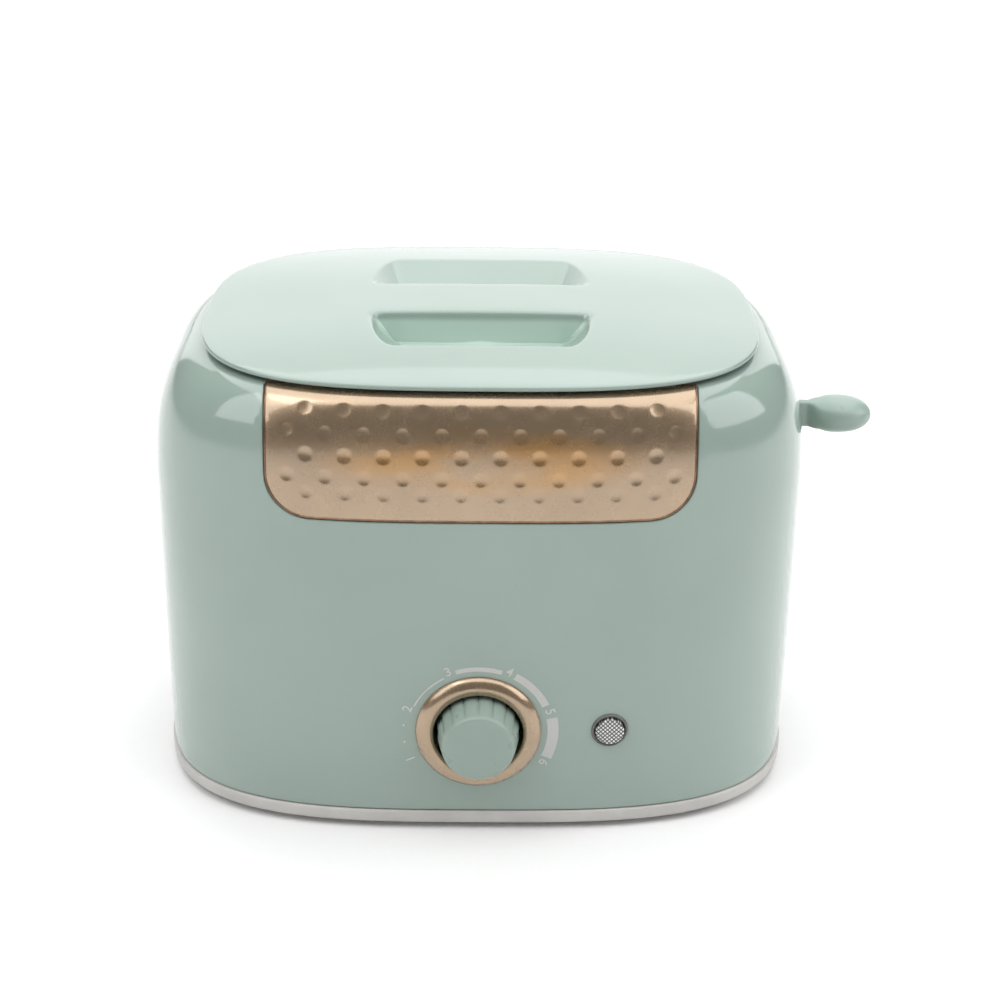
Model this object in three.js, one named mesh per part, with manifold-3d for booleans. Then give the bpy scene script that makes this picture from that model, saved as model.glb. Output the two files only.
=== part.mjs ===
// A two-slice bread toaster with a lift-off dust cover, a dimpled metallised front panel, a browning knob,
// a stop button, a press-down lever and a pull-out crumb tray.
//
// Millimetres, +Z up, front towards -Y. Every piece is drawn about the body's own centre line, with Z = 0 at
// the underside of the base. The outer group then moves it all, so that the feet stand on Z = 0 and the
// origin is under the middle of the overall box.
import * as THREE from "three";
import { ConvexGeometry } from "three/addons/geometries/ConvexGeometry.js";
import { mergeVertices } from "three/addons/utils/BufferGeometryUtils.js";
import Module from "manifold-3d";

const wasm = await Module();
wasm.setup();

// ---------------------------------------------------------------- driving dimensions
const GAP = 0.3; // between pieces that touch
const BODY = { halfWidth: 120, halfDepth: 84, bottom: 5.8, top: 166.7, wall: 3, roundness: 3.2, draft: 0.6 };
const SHOULDER = { start: 105.5, insetX: 24, insetY: 11, rise: 3.4, roll: 2 };
const BASE = { top: 5.5, flare: 0.6, floor: 2.2, lipTop: 10, lip: 2 };
const LID = { halfWidth: 101.2, halfDepth: 74.8, edge: 169.4, crown: 175.7, thick: 2.4, roundness: 3.1 };
const STAND = { inside: 4.6, narrower: 3 }; // the ring under the cover that rests on the body's crest
const POCKET = { bridge: 15.5, far: 46, halfTop: 40, halfFar: 30, halfBottom: 31, floor: 163.8, wall: 1.8 };
const DECK = { halfWidth: 86, halfDepth: 53, bottom: 159.5, top: 166.2, thick: 1.3, collar: 8, corner: 10 };
const SLOT = { centre: 30, width: 34, left: -80, right: 66 };
const PANEL = { halfWidth: 74, bottom: 123.8, corner: 15, thick: 1.6, back: -62 };
const KNOB = { z: 40, bezel: 22.8, well: 16, skirt: 15, face: 12.8, front: -96, shaft: 3, flutes: 16 };
const BUTTON = { x: 47.5, z: 40, radius: 5.2, sleeve: 6, rim: 6.7, front: -84.2 };
const LEVER = { z: 130, stemHigh: 10, stemThick: 4.4, padStart: 124.6, padEnd: 148.4, padWide: 18, padHigh: 13 };
const TRAVEL = 78; // of the bread carriage
const TRAY = { halfWidth: 57, front: -62, back: 76, bottom: 6.2, high: 6, sheet: 1 };
const CHASSIS = { left: -88, right: 74, halfDepth: 57, bottom: 14, top: 158, sheet: 1 };
const ROD = { x: 92, y: 20, radius: 2.4, bottom: 15, top: 156 };
const RACK = { top: 103, high: 6, left: -91, right: 77.7, fingers: [-66, -42, -18, 6, 30, 54] };
const GUARD = { wire: 1, bottom: 34, top: 150, left: -77, right: 63 };
const MICA = { thick: 1.2, bottom: 20, top: 150, left: -82, right: 68 };
const MAGNET = { x: 100, top: 36.8, coilTop: 34, coil: 9, core: 3.7 };
const SHELF = { right: 104, halfDepth: 28, bottom: 150, sheet: 1.5 }; // over the guide rods
const BRACKET = { left: 78, sheet: 1.5, halfDepth: 33, top: 121 }; // ties the racks to the lever
const BRIDGE = { right: 106, halfDepth: 27, bottom: 118, sheet: 2 }; // of the bracket, between its bushes
const BUSH = { radius: 5, bottom: 112, top: 125 };
const ARM = { left: 84, right: 135.6, thick: 1.6, high: 6, footRight: 100 };
const SPRING = { x: 84, y: 11, outer: 3.2, inner: 2.2 };
const CONTROL = { left: -26, right: 62, front: -66, thick: 1.6, bottom: 18, top: 60 };
const MAIN = { left: 80.5, right: 112, halfDepth: 32, top: 14.6, thick: 1.6 };
const PILLARS = { places: [[83, -28], [83, 28], [109, -28], [109, 28]], radius: 3 }; // under the main board
const SILLS = { spans: [[-90, -84], [70, 78]], halfDepth: 50 }; // under the two end plates
const VENTS = { places: [-49, -35, -21, -7, 7, 21, 35, 49], halfWidth: 2.5, halfDepth: 44 };
const POST = { radius: 4.2, top: 60, ribReach: 22, ribBottom: 26, ribThick: 2 };
const FOOT = { x: 80, y: 52, radius: 8, stands: 2.5 };
const SCREW = { x: 96, y: 40, head: 3.9, shank: 1.9, headTop: 5.9, tip: 24 };
const GLAND = { x: 72, z: 26, flange: 7.5, sleeve: 4.7, bore: 3.2 };

// ---------------------------------------------------------------- materials
function finish(color, roughness, metalness = 0, extra = {}) {
  return new THREE.MeshStandardMaterial({ color, roughness, metalness, ...extra });
}
const MINT = finish(0xb4d2c6, 0.18);
const CHAMPAGNE = finish(0xbe9a78, 0.28, 0.9);
const GREY_PLASTIC = finish(0xb9b5b0, 0.5);
const BLACK_PLASTIC = finish(0x2b2e2c, 0.5);
const CLEAR = finish(0xdfe4e0, 0.08, 0, { transparent: true, opacity: 0.6 });
const STEEL = finish(0xb8bbbd, 0.3, 1);
const ZINC = finish(0x9ea3a4, 0.45, 1);
const MICA_BOARD = finish(0xc9b488, 0.6);
const RUBBER = finish(0x3c3e3d, 0.85);
const BOARD = finish(0x2f6b45, 0.5);
const COPPER = finish(0xb46a3a, 0.35, 1);
const BRASS = finish(0xc9a24f, 0.3, 1);

// ---------------------------------------------------------------- shape tools
/** The same surface with shared vertices merged, no collapsed faces, and its faces pointing out. */
function closed(geometry) {
  const bare = new THREE.BufferGeometry();
  bare.setAttribute("position", geometry.getAttribute("position"));
  if (geometry.index) bare.setIndex(geometry.index);
  const merged = mergeVertices(bare, 1e-4);
  const at = merged.getAttribute("position");
  const point = (i) => new THREE.Vector3().fromBufferAttribute(at, i);
  const corners = [];
  let volume = 0;
  for (let i = 0; i < merged.index.count; i += 3) {
    const [a, b, c] = [0, 1, 2].map((k) => merged.index.getX(i + k));
    if (a === b || b === c || a === c) continue;
    corners.push(a, b, c);
    volume += point(a).dot(point(b).cross(point(c)));
  }
  if (volume < 0) corners.reverse();
  merged.setIndex(corners);
  merged.computeVertexNormals();
  return merged;
}

function solid(geometry) {
  const g = closed(geometry);
  return new wasm.Manifold(
    new wasm.Mesh({
      numProp: 3,
      vertProperties: new Float32Array(g.getAttribute("position").array),
      triVerts: new Uint32Array(g.index.array),
    }),
  );
}

/** The first geometry with the "add" ones joined on, cut by the "cut" ones, then kept inside "within". */
function carve(first, { add = [], cut = [], within = [] }) {
  let made = solid(first);
  for (const g of add) made = made.add(solid(g));
  for (const g of cut) made = made.subtract(solid(g));
  for (const g of within) made = made.intersect(solid(g));
  const mesh = made.getMesh();
  const g = new THREE.BufferGeometry();
  g.setAttribute("position", new THREE.BufferAttribute(new Float32Array(mesh.vertProperties), 3));
  g.setIndex(new THREE.BufferAttribute(new Uint32Array(mesh.triVerts), 1));
  g.computeVertexNormals();
  return g;
}

/** Several pieces that touch or overlap, as one. */
function joined(first, ...rest) {
  return carve(first, { add: rest });
}

/** A box from its two corners. */
function box([x0, y0, z0], [x1, y1, z1]) {
  const g = new THREE.BoxGeometry(x1 - x0, y1 - y0, z1 - z0);
  return g.translate((x0 + x1) / 2, (y0 + y1) / 2, (z0 + z1) / 2);
}

/** A round bar along X, Y or Z from one end to the other, centred at (a, b) on the other two axes. */
function bar(axis, radius, from, to, a = 0, b = 0, sides = 12, endRadius = radius) {
  const g = new THREE.CylinderGeometry(endRadius, radius, to - from, sides);
  g.translate(0, (from + to) / 2, 0);
  if (axis === "x") return g.rotateZ(-Math.PI / 2).translate(0, a, b);
  if (axis === "y") return g.translate(a, 0, b);
  return g.rotateX(Math.PI / 2).translate(a, b, 0);
}

function tube(axis, outer, inner, from, to, a = 0, b = 0, sides = 16) {
  return carve(bar(axis, outer, from, to, a, b, sides), { cut: [bar(axis, inner, from - 1, to + 1, a, b, sides)] });
}

/** A profile of [radius, distance] points turned about Z, or about Y if "about" says so. */
function turned(profile, about = "z", segments = 32) {
  const points = profile.map(([r, along]) => new THREE.Vector2(r, along));
  const g = new THREE.LatheGeometry(points, segments);
  if (about === "z") g.rotateX(Math.PI / 2);
  return closed(g);
}

/** A profile of [half width, half depth, height] points carried round a rounded-square plan. */
function squircle(profile, roundness = BODY.roundness, segments = 40) {
  const points = profile.map(([, halfDepth, z]) => new THREE.Vector2(halfDepth, z));
  const g = new THREE.LatheGeometry(points, segments);
  const at = g.getAttribute("position");
  const bend = (v) => Math.sign(v) * Math.abs(v) ** (2 / roundness);
  for (let i = 0; i < at.count; i++) {
    const [halfWidth, halfDepth, z] = profile[i % profile.length];
    const angle = (Math.floor(i / profile.length) / segments) * 2 * Math.PI;
    at.setXYZ(i, halfWidth * bend(Math.cos(angle)), halfDepth * bend(Math.sin(angle)), z);
  }
  return closed(g);
}

/** A rounded-square slab. */
function slab(halfWidth, halfDepth, from, to) {
  return squircle([[0, 0, from], [halfWidth, halfDepth, from], [halfWidth, halfDepth, to], [0, 0, to]]);
}

/** A plan shape raised from one height to another. */
function raised(shape, from, to) {
  const g = new THREE.ExtrudeGeometry(shape, { depth: to - from, bevelEnabled: false, curveSegments: 4 });
  return g.translate(0, 0, from);
}

/** A front-view shape, drawn in X and Z, carried back from one Y to another. */
function carriedBack(shape, from, to) {
  const g = new THREE.ExtrudeGeometry(shape, { depth: to - from, bevelEnabled: false, curveSegments: 5 });
  return g.rotateX(Math.PI / 2).translate(0, to, 0);
}

/** A rectangle with round corners. */
function roundRect(halfX, halfY, r) {
  const s = new THREE.Shape();
  const [x, y] = [halfX - r, halfY - r];
  s.moveTo(-x, -halfY).lineTo(x, -halfY).absarc(x, -y, r, -Math.PI / 2, 0);
  s.lineTo(halfX, y).absarc(x, y, r, 0, Math.PI / 2);
  s.lineTo(-x, halfY).absarc(-x, y, r, Math.PI / 2, Math.PI);
  s.lineTo(-halfX, -y).absarc(-x, -y, r, Math.PI, 1.5 * Math.PI);
  return s;
}

const FOUR_CORNERS = [["front", "left"], ["front", "right"], ["rear", "left"], ["rear", "right"]];
const corner = ([depth, side], at) => [side === "left" ? -at.x : at.x, depth === "front" ? -at.y : at.y];

// ---------------------------------------------------------------- the body's outer form
/** Half the body's width and depth at a height, with its surface moved in by "inside". */
function bodyRow(z, inside = 0) {
  const top = BODY.top - inside;
  const share = Math.min(Math.max((z - BODY.bottom) / (SHOULDER.start - BODY.bottom), 0), 1);
  const draft = BODY.draft * (1 - Math.sin((share * Math.PI) / 2));
  const k = Math.min(Math.max((z - SHOULDER.start) / (top - SHOULDER.start), 0), 1);
  const drop = 1 - (1 - k ** SHOULDER.rise) ** (1 / SHOULDER.roll);
  return [
    BODY.halfWidth - inside - draft - SHOULDER.insetX * drop,
    BODY.halfDepth - inside - draft - SHOULDER.insetY * drop,
    z,
  ];
}

/** The distance from the body's middle plane to its front or rear surface, at a place on it. */
function surfaceAt(x, z) {
  const [halfWidth, halfDepth] = bodyRow(z);
  return halfDepth * (1 - (Math.abs(x) / halfWidth) ** BODY.roundness) ** (1 / BODY.roundness);
}

/** The body as a solid, with its surface moved in by "inside" and its foot carried down by "below". */
function bodyForm(inside = 0, below = 0) {
  const rise = SHOULDER.start - BODY.bottom;
  const crest = BODY.top - inside - SHOULDER.start;
  const shares = [0, 0.45, 0.7, 0.86, 0.96, 1];
  const heights = [0.4].map((k) => BODY.bottom + k * rise);
  heights.push(...shares.map((k) => SHOULDER.start + k * crest));
  const foot = bodyRow(BODY.bottom, inside);
  foot[2] -= below;
  const rows = [foot, ...heights.map((z) => bodyRow(z, inside))];
  return squircle([[0, 0, foot[2]], ...rows, [0, 0, BODY.top - inside]]);
}

// ---------------------------------------------------------------- scene
const toaster = new THREE.Group();
const body = new THREE.Group();
toaster.add(body);
body.position.set(
  -(LEVER.padEnd - BODY.halfWidth) / 2,
  -(KNOB.front + BODY.halfDepth) / 2,
  FOOT.stands,
);

/** Adds one piece, drawn about its own origin, at a place on the body. */
function piece(name, geometry, material, place = [0, 0, 0]) {
  const mesh = new THREE.Mesh(geometry, material);
  mesh.name = name;
  mesh.position.set(...place);
  body.add(mesh);
}

// ---------------------------------------------------------------- outer shells
function panelOutline(grow) {
  const w = PANEL.halfWidth + grow;
  const r = PANEL.corner + grow;
  const low = PANEL.bottom - grow;
  const s = new THREE.Shape();
  s.moveTo(-w + r, low).lineTo(w - r, low).absarc(w - r, low + r, r, -Math.PI / 2, 0);
  s.lineTo(w, BODY.top + 10).lineTo(-w, BODY.top + 10).lineTo(-w, low + r);
  s.absarc(-w + r, low + r, r, Math.PI, 1.5 * Math.PI);
  return s;
}

/** The layer of the body's surface between two depths, inside the front panel's outline. */
function panelLayer(from, to, grow) {
  const front = carriedBack(panelOutline(grow), -100, PANEL.back + grow);
  return carve(bodyForm(from), { cut: [bodyForm(to, 2)], within: [front] });
}

/** Four hollow posts, tied to the side walls, that the base screws bite into. */
function screwPosts() {
  const posts = FOUR_CORNERS.map((which) => {
    const [x, y] = corner(which, SCREW);
    const out = x + Math.sign(x) * POST.ribReach;
    const half = POST.ribThick / 2;
    const rib = box([Math.min(x, out), y - half, POST.ribBottom], [Math.max(x, out), y + half, POST.top]);
    return joined(bar("z", POST.radius, BASE.lipTop, POST.top, x, y, 12), rib);
  });
  return carve(posts[0], { add: posts.slice(1), within: [bodyForm(BODY.wall / 2)] });
}

function housing() {
  const shell = carve(bodyForm(), { cut: [bodyForm(BODY.wall, 5)] });
  const slotReach = LEVER.stemHigh / 2 + 1;
  const half = LEVER.stemThick / 2 + 0.9;
  return carve(shell, {
    add: [screwPosts()],
    cut: [
      panelLayer(-2, PANEL.thick + GAP, GAP),
      raised(roundRect(DECK.halfWidth + GAP, DECK.halfDepth + GAP, DECK.corner + GAP), 150, 180),
      bar("y", KNOB.well + 1.6, -100, -70, 0, KNOB.z, 32),
      bar("y", BUTTON.sleeve + GAP, -100, -70, BUTTON.x, BUTTON.z, 24),
      box([104, -half, LEVER.z - TRAVEL - slotReach], [130, half, LEVER.z + slotReach]),
      box([-TRAY.halfWidth - 1.4, 60, 0], [TRAY.halfWidth + 1.4, 90, TRAY.bottom + 8.3]),
      bar("y", GLAND.sleeve + GAP, 60, 100, GLAND.x, GLAND.z, 20),
      ...FOUR_CORNERS.map((which) => bar("z", SCREW.shank + 0.15, 0, SCREW.tip + 3, ...corner(which, SCREW), 12)),
    ],
  });
}

function base() {
  const [footWidth, footDepth] = bodyRow(BODY.bottom);
  const [halfWidth, halfDepth] = [footWidth + BASE.flare, footDepth + BASE.flare];
  const lipOut = BODY.wall + GAP;
  const rows = [[0, 0, 0], [halfWidth - 1.2, halfDepth - 1.2, 0], [halfWidth, halfDepth, 1.2]];
  rows.push([halfWidth, halfDepth, BASE.top], [0, 0, BASE.top]);
  const dish = carve(squircle(rows), { cut: [slab(halfWidth - 2.4, halfDepth - 2.4, BASE.floor, 20)] });
  const lip = carve(slab(footWidth - lipOut, footDepth - lipOut, BASE.floor - 1, BASE.lipTop), {
    cut: [slab(footWidth - lipOut - BASE.lip, footDepth - lipOut - BASE.lip, 0, 20)],
  });
  const plain = joined(
    dish,
    lip,
    ...SILLS.spans.map(([from, to]) => box([from, -SILLS.halfDepth, 1], [to, SILLS.halfDepth, CHASSIS.bottom - GAP])),
    ...PILLARS.places.map(([x, y]) => bar("z", PILLARS.radius, 1, MAIN.top - MAIN.thick - GAP, x, y, 12)),
    ...FOUR_CORNERS.map((which) => bar("z", 5.6, 1, BASE.lipTop - GAP, ...corner(which, SCREW), 12)),
  );
  return carve(plain, {
    cut: [
      ...VENTS.places.map((x) => box([x - VENTS.halfWidth, -VENTS.halfDepth, -1],
        [x + VENTS.halfWidth, VENTS.halfDepth, 5])),
      box([-TRAY.halfWidth - 3, 60, BASE.top], [TRAY.halfWidth + 3, 90, 20]),
      ...FOUR_CORNERS.flatMap((which) => [
        bar("z", SCREW.head + GAP, -1, SCREW.headTop + GAP, ...corner(which, SCREW), 12),
        bar("z", SCREW.shank + GAP, -1, 20, ...corner(which, SCREW), 12),
        bar("z", 2.6, -1, 5, ...corner(which, FOOT), 12),
      ]),
    ],
  });
}

function foot() {
  const r = FOOT.radius;
  return turned([[0, -FOOT.stands], [r - 0.7, -FOOT.stands], [r, -FOOT.stands + 0.7], [r, -GAP], [2.3, -GAP],
    [2.3, BASE.floor + 1], [0, BASE.floor + 1]], "z", 16);
}

/** A pocket for the fingers beside the cover's bridge: steep at the bridge, sloping up to its far side. */
function fingerPocket(side, grow) {
  const near = POCKET.bridge - grow;
  const far = POCKET.far + grow;
  const points = [];
  for (let i = 0; i <= 4; i++) {
    const angle = (i / 4) * (Math.PI / 2);
    const x = POCKET.halfFar + (POCKET.halfTop - POCKET.halfFar + grow) * Math.cos(angle);
    const y = near + 4 + (far - near - 4) * Math.sin(angle);
    for (const z of [172.2 - grow, 185]) points.push([x, y, z], [-x, y, z]);
  }
  const [bottom, endZ] = [POCKET.floor - grow, 172.2 - grow];
  const [halfTop, halfBottom] = [POCKET.halfTop + grow, POCKET.halfBottom + grow];
  points.push([halfTop, near, endZ], [-halfTop, near, endZ], [halfTop, near, 185], [-halfTop, near, 185]);
  points.push([halfBottom, near + 1, bottom], [-halfBottom, near + 1, bottom]);
  points.push([halfBottom - 3, near + 7, bottom], [3 - halfBottom, near + 7, bottom]);
  return new ConvexGeometry(points.map(([x, y, z]) => new THREE.Vector3(x, side * y, z)));
}

/** The lift-off dust cover: a shallow dome with a rolled edge, a ring that stands on the body, and a ring that
    drops into the deck to keep it in place. */
function dustCover() {
  const { halfWidth, halfDepth, edge, crown, thick, roundness } = LID;
  const dome = (share, down = 0) => [
    halfWidth * share, halfDepth * share, edge + 0.6 + (crown - edge - 0.6) * (1 - share ** 2.6) - down];
  const at = (inside, z) => [halfWidth - inside, halfDepth - inside, z];
  const standAt = (inside, z) => at(STAND.inside + inside, z).map((v, i) => (i ? v : v - STAND.narrower));
  const top = [0, 0.3, 0.55, 0.75, 0.9].map((share) => dome(share));
  const rim = [at(0.8, edge + 0.6), at(0, edge - 0.2), at(1, edge - 1.2)];
  const foot = BODY.top + GAP;
  const stand = [standAt(0, edge - 1.2), standAt(0.2, foot), standAt(2.2, foot), standAt(2.4, edge - 1)];
  const under = [0.75, 0.45, 0].map((share) => dome(share, thick));
  const shell = squircle([...top, ...rim, ...stand, ...under], roundness);
  const whole = squircle([...top, ...rim, [0, 0, edge - 1.2]], roundness);
  const column = squircle([[0, 0, 100], at(2, 100), at(2, edge), [0, 0, edge]], roundness);
  const ringWidth = DECK.halfWidth - DECK.thick - 0.6;
  const ringDepth = DECK.halfDepth - DECK.thick - 0.6;
  const ring = carve(raised(roundRect(ringWidth, ringDepth, DECK.corner - 1.5), POCKET.floor - 0.8, 173), {
    cut: [raised(roundRect(ringWidth - 1.6, ringDepth - 1.6, DECK.corner - 3), 100, 180)],
  });
  const cups = carve(fingerPocket(1, POCKET.wall), {
    add: [fingerPocket(-1, POCKET.wall), ring],
    within: [joined(whole, column)],
  });
  return carve(shell, { add: [cups], cut: [fingerPocket(1, 0), fingerPocket(-1, 0)] });
}

/** The plate under the cover, with a collar down into each bread slot. */
function slotDeck() {
  const { halfWidth, halfDepth, bottom, top, thick, collar, corner: r } = DECK;
  const inner = raised(roundRect(halfWidth - thick, halfDepth - thick, r - thick), bottom + thick, top + 5);
  const pan = carve(raised(roundRect(halfWidth, halfDepth, r), bottom, top), { cut: [inner] });
  const opening = (side, grow, from, to) => box(
    [SLOT.left - grow, side * SLOT.centre - SLOT.width / 2 - grow, from],
    [SLOT.right + grow, side * SLOT.centre + SLOT.width / 2 + grow, to]);
  const sides = [-1, 1];
  return carve(pan, {
    add: sides.map((s) => opening(s, thick, bottom - collar, bottom + thick / 2)),
    cut: sides.map((s) => opening(s, 0, 100, 200)),
  });
}

// ---------------------------------------------------------------- front controls
/** The gold ring round the browning knob: a raised rounded ring with a sleeve back through the housing. */
function knobBezel() {
  const out = KNOB.bezel;
  const face = -surfaceAt(0, KNOB.z);
  const ring = turned([[KNOB.well, face + 3], [KNOB.well, face - 1.6], [KNOB.well + 1.4, face - 3],
    [KNOB.well + 3.2, face - 3.3], [out - 1, face - 1.9], [out, face - 0.4],
    [out, face + 3], [KNOB.well, face + 3]], "y", 32);
  const flange = carve(ring.translate(0, 0, KNOB.z), { cut: [bodyForm(-GAP)] });
  const sleeve = tube("y", KNOB.well + 1.3, KNOB.well, face - 1, face + 7, 0, KNOB.z, 32);
  return joined(flange, sleeve);
}

/** A tapering grip whose edge is pressed into shallow flutes. */
function browningKnob() {
  const sides = KNOB.flutes * 2;
  const back = KNOB.front + 13.6;
  const g = bar("y", KNOB.face + 0.4, KNOB.front + 1.2, back, 0, 0, sides, KNOB.skirt);
  const at = g.getAttribute("position");
  for (let i = 0; i < at.count; i++) {
    const turn = Math.round((Math.atan2(at.getZ(i), at.getX(i)) / (2 * Math.PI)) * sides);
    const pressed = turn % 2 ? 0.95 : 1;
    at.setXYZ(i, at.getX(i) * pressed, at.getY(i), at.getZ(i) * pressed);
  }
  const face = bar("y", KNOB.face - 0.7, KNOB.front, KNOB.front + 2, 0, 0, sides, KNOB.face - 0.1);
  const shaftHole = bar("y", KNOB.shaft + GAP, KNOB.front + 4, back + 5, 0, 0, 16);
  return carve(g, { add: [face], cut: [shaftHole] }).translate(0, 0, KNOB.z);
}

function addFrontControls() {
  const boardY = CONTROL.front;
  const buttonBack = BUTTON.front + 4;
  piece("knob_bezel", knobBezel(), CHAMPAGNE);
  piece("browning_knob", browningKnob(), MINT);
  piece("knob_shaft", bar("y", KNOB.shaft, KNOB.front + 4 + GAP, boardY - 1, 0, KNOB.z), BRASS);
  piece("potentiometer", tube("y", 9, KNOB.shaft + GAP, boardY - 7, boardY - GAP, 0, KNOB.z, 24), ZINC);
  piece("control_board", box([CONTROL.left, boardY, CONTROL.bottom],
    [CONTROL.right, boardY + CONTROL.thick, CONTROL.top]), BOARD);
  const rim = tube("y", BUTTON.rim, BUTTON.radius + 0.25, BUTTON.front - 0.4, -78, BUTTON.x, BUTTON.z, 20);
  const sleeve = tube("y", BUTTON.sleeve, BUTTON.radius + 0.25, -82, -75, BUTTON.x, BUTTON.z, 20);
  piece("button_sleeve", joined(carve(rim, { cut: [bodyForm(-GAP)] }), sleeve), BLACK_PLASTIC);
  piece("stop_button", bar("y", BUTTON.radius, BUTTON.front, buttonBack, BUTTON.x, BUTTON.z, 20), CLEAR);
  piece("button_plunger", bar("y", 2, buttonBack + GAP, boardY - 6.4, BUTTON.x, BUTTON.z, 12), BLACK_PLASTIC);
  piece("stop_switch", box([BUTTON.x - 3, boardY - 4, BUTTON.z - 3], [BUTTON.x + 3, boardY - GAP, BUTTON.z + 3]),
    BLACK_PLASTIC);
  piece("indicator_lamp", bar("y", 1.5, -75, boardY - GAP, BUTTON.x, BUTTON.z - 4.6, 12), CLEAR);
}

// ---------------------------------------------------------------- heating chamber
function endPlate(x, slotHalf, slotBottom, slotTop) {
  const { halfDepth, bottom, top, sheet } = CHASSIS;
  return carve(box([x, -halfDepth, bottom], [x + sheet, halfDepth, top]), {
    cut: [-1, 1].map((side) => box([x - 1, side * SLOT.centre - slotHalf, slotBottom],
      [x + 2, side * SLOT.centre + slotHalf, slotTop])),
  });
}

/** The right end plate, folded over at the top to hold the two guide rods and the return spring. */
function rodPlate() {
  const x = CHASSIS.right;
  const { right, halfDepth, bottom, sheet } = SHELF;
  const shelf = box([x, -halfDepth, bottom], [right, halfDepth, bottom + sheet]);
  return carve(endPlate(x, 3.2, 12, RACK.top + 3), {
    add: [shelf],
    cut: [-1, 1].map((side) => bar("z", ROD.radius + GAP, 140, 160, ROD.x, side * ROD.y)),
  });
}

function breadGuard() {
  const { wire, bottom, top, left, right } = GUARD;
  const bars = 6;
  const pitch = (right - left - 2) / (bars - 1);
  const windows = [];
  for (let i = 0; i < bars - 1; i++) {
    const x = left + 2 + i * pitch;
    windows.push(box([x, -5, bottom + 2], [x + pitch - 2, 5, top - 2]));
  }
  return carve(box([left, -wire / 2, bottom], [right, wire / 2, top]), { cut: windows });
}

function addHeatingChamber() {
  const { left, right, halfDepth, bottom, top } = CHASSIS;
  piece("end_plate_left", endPlate(left, 2, 16, RACK.top + 3), ZINC);
  piece("end_plate_right", rodPlate(), ZINC);
  for (const [side, sign] of [["front", -1], ["rear", 1]]) {
    const shell = halfDepth - 1.6;
    const [near, far] = sign < 0 ? [-shell, 1 - shell] : [shell - 1, shell];
    piece(`reflector_${side}`, box([left + 1 + GAP, near, bottom + 2], [right - GAP, far, top - 2]), STEEL);
    for (const [which, y] of [["outer", 51.2], ["inner", 9.6]]) {
      const board = box([MICA.left, -MICA.thick / 2, MICA.bottom], [MICA.right, MICA.thick / 2, MICA.top]);
      piece(`heater_${side}_${which}`, board, MICA_BOARD, [0, sign * y, 0]);
    }
    piece(`bread_guard_${side}_outer`, breadGuard(), STEEL, [0, sign * (SLOT.centre + 16.8), 0]);
    piece(`bread_guard_${side}_inner`, breadGuard(), STEEL, [0, sign * (SLOT.centre - 16.8), 0]);
  }
}

// ---------------------------------------------------------------- bread carriage
/** One slice's rest: a bar along the slot with short cross fingers. */
function breadRack() {
  const { top, high, left, right } = RACK;
  const fingers = RACK.fingers.map((x) => box([x - 1, -10, top - 2], [x + 1, 10, top]));
  return joined(box([left, -1, top - high], [right, 1, top]), ...fingers);
}

/** The plate that runs on the guide rods and ties both racks to the lever. */
function carriageBracket() {
  const { left, sheet, halfDepth, top } = BRACKET;
  const plate = box([left, -halfDepth, RACK.top - 8], [left + sheet, halfDepth, top]);
  const { right, halfDepth: bridgeHalf, bottom, sheet: bridgeSheet } = BRIDGE;
  const shelf = box([left, -bridgeHalf, bottom], [right, bridgeHalf, bottom + bridgeSheet]);
  const bushes = [-1, 1].map((side) => bar("z", BUSH.radius, BUSH.bottom, BUSH.top, ROD.x, side * ROD.y));
  return carve(joined(plate, shelf, ...bushes), {
    cut: [-1, 1].map((side) => bar("z", ROD.radius + 0.4, 90, 140, ROD.x, side * ROD.y)),
  });
}

/** The finger pad outside, on a flat stem that reaches in through the side of the housing. */
function leverKnob() {
  const { z, stemHigh, stemThick, padStart, padEnd, padWide, padHigh } = LEVER;
  const pad = new THREE.SphereGeometry(0.5, 16, 10);
  pad.scale(padEnd - padStart, padWide, padHigh).translate((padStart + padEnd) / 2, 0, z);
  const stem = box([111, -stemThick / 2, z - stemHigh / 2], [130, stemThick / 2, z + stemHigh / 2]);
  return carve(joined(pad, stem), { cut: [box([100, -1.1, z - 3.3], [136, 1.1, z + 3.3])] });
}

function addCarriage() {
  const [armSide, armTop] = [ARM.thick / 2, LEVER.z + ARM.high / 2];
  const shelfTop = BRIDGE.bottom + BRIDGE.sheet;
  const arm = joined(box([ARM.left, -armSide, armTop - ARM.high], [ARM.right, armSide, armTop]),
    box([ARM.left, -armSide, shelfTop + GAP], [ARM.footRight, armSide, armTop]));
  piece("carriage_bracket", carriageBracket(), ZINC);
  piece("bread_rack_front", breadRack(), STEEL, [0, -SLOT.centre, 0]);
  piece("bread_rack_rear", breadRack(), STEEL, [0, SLOT.centre, 0]);
  piece("lever_arm", arm, ZINC);
  piece("lever_knob", leverKnob(), MINT);
  piece("latch_plate", box([94, -7, BRIDGE.bottom - 2.8], [BRIDGE.right, 7, BRIDGE.bottom - GAP]), STEEL);
  const { x, y, outer, inner } = SPRING;
  piece("carriage_spring", tube("z", outer, inner, shelfTop + GAP, SHELF.bottom - GAP, x, y, 16), STEEL);
  for (const [side, sign] of [["front", -1], ["rear", 1]]) {
    piece(`guide_rod_${side}`, bar("z", ROD.radius, ROD.bottom, ROD.top), STEEL, [ROD.x, sign * ROD.y, 0]);
  }
}

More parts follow.
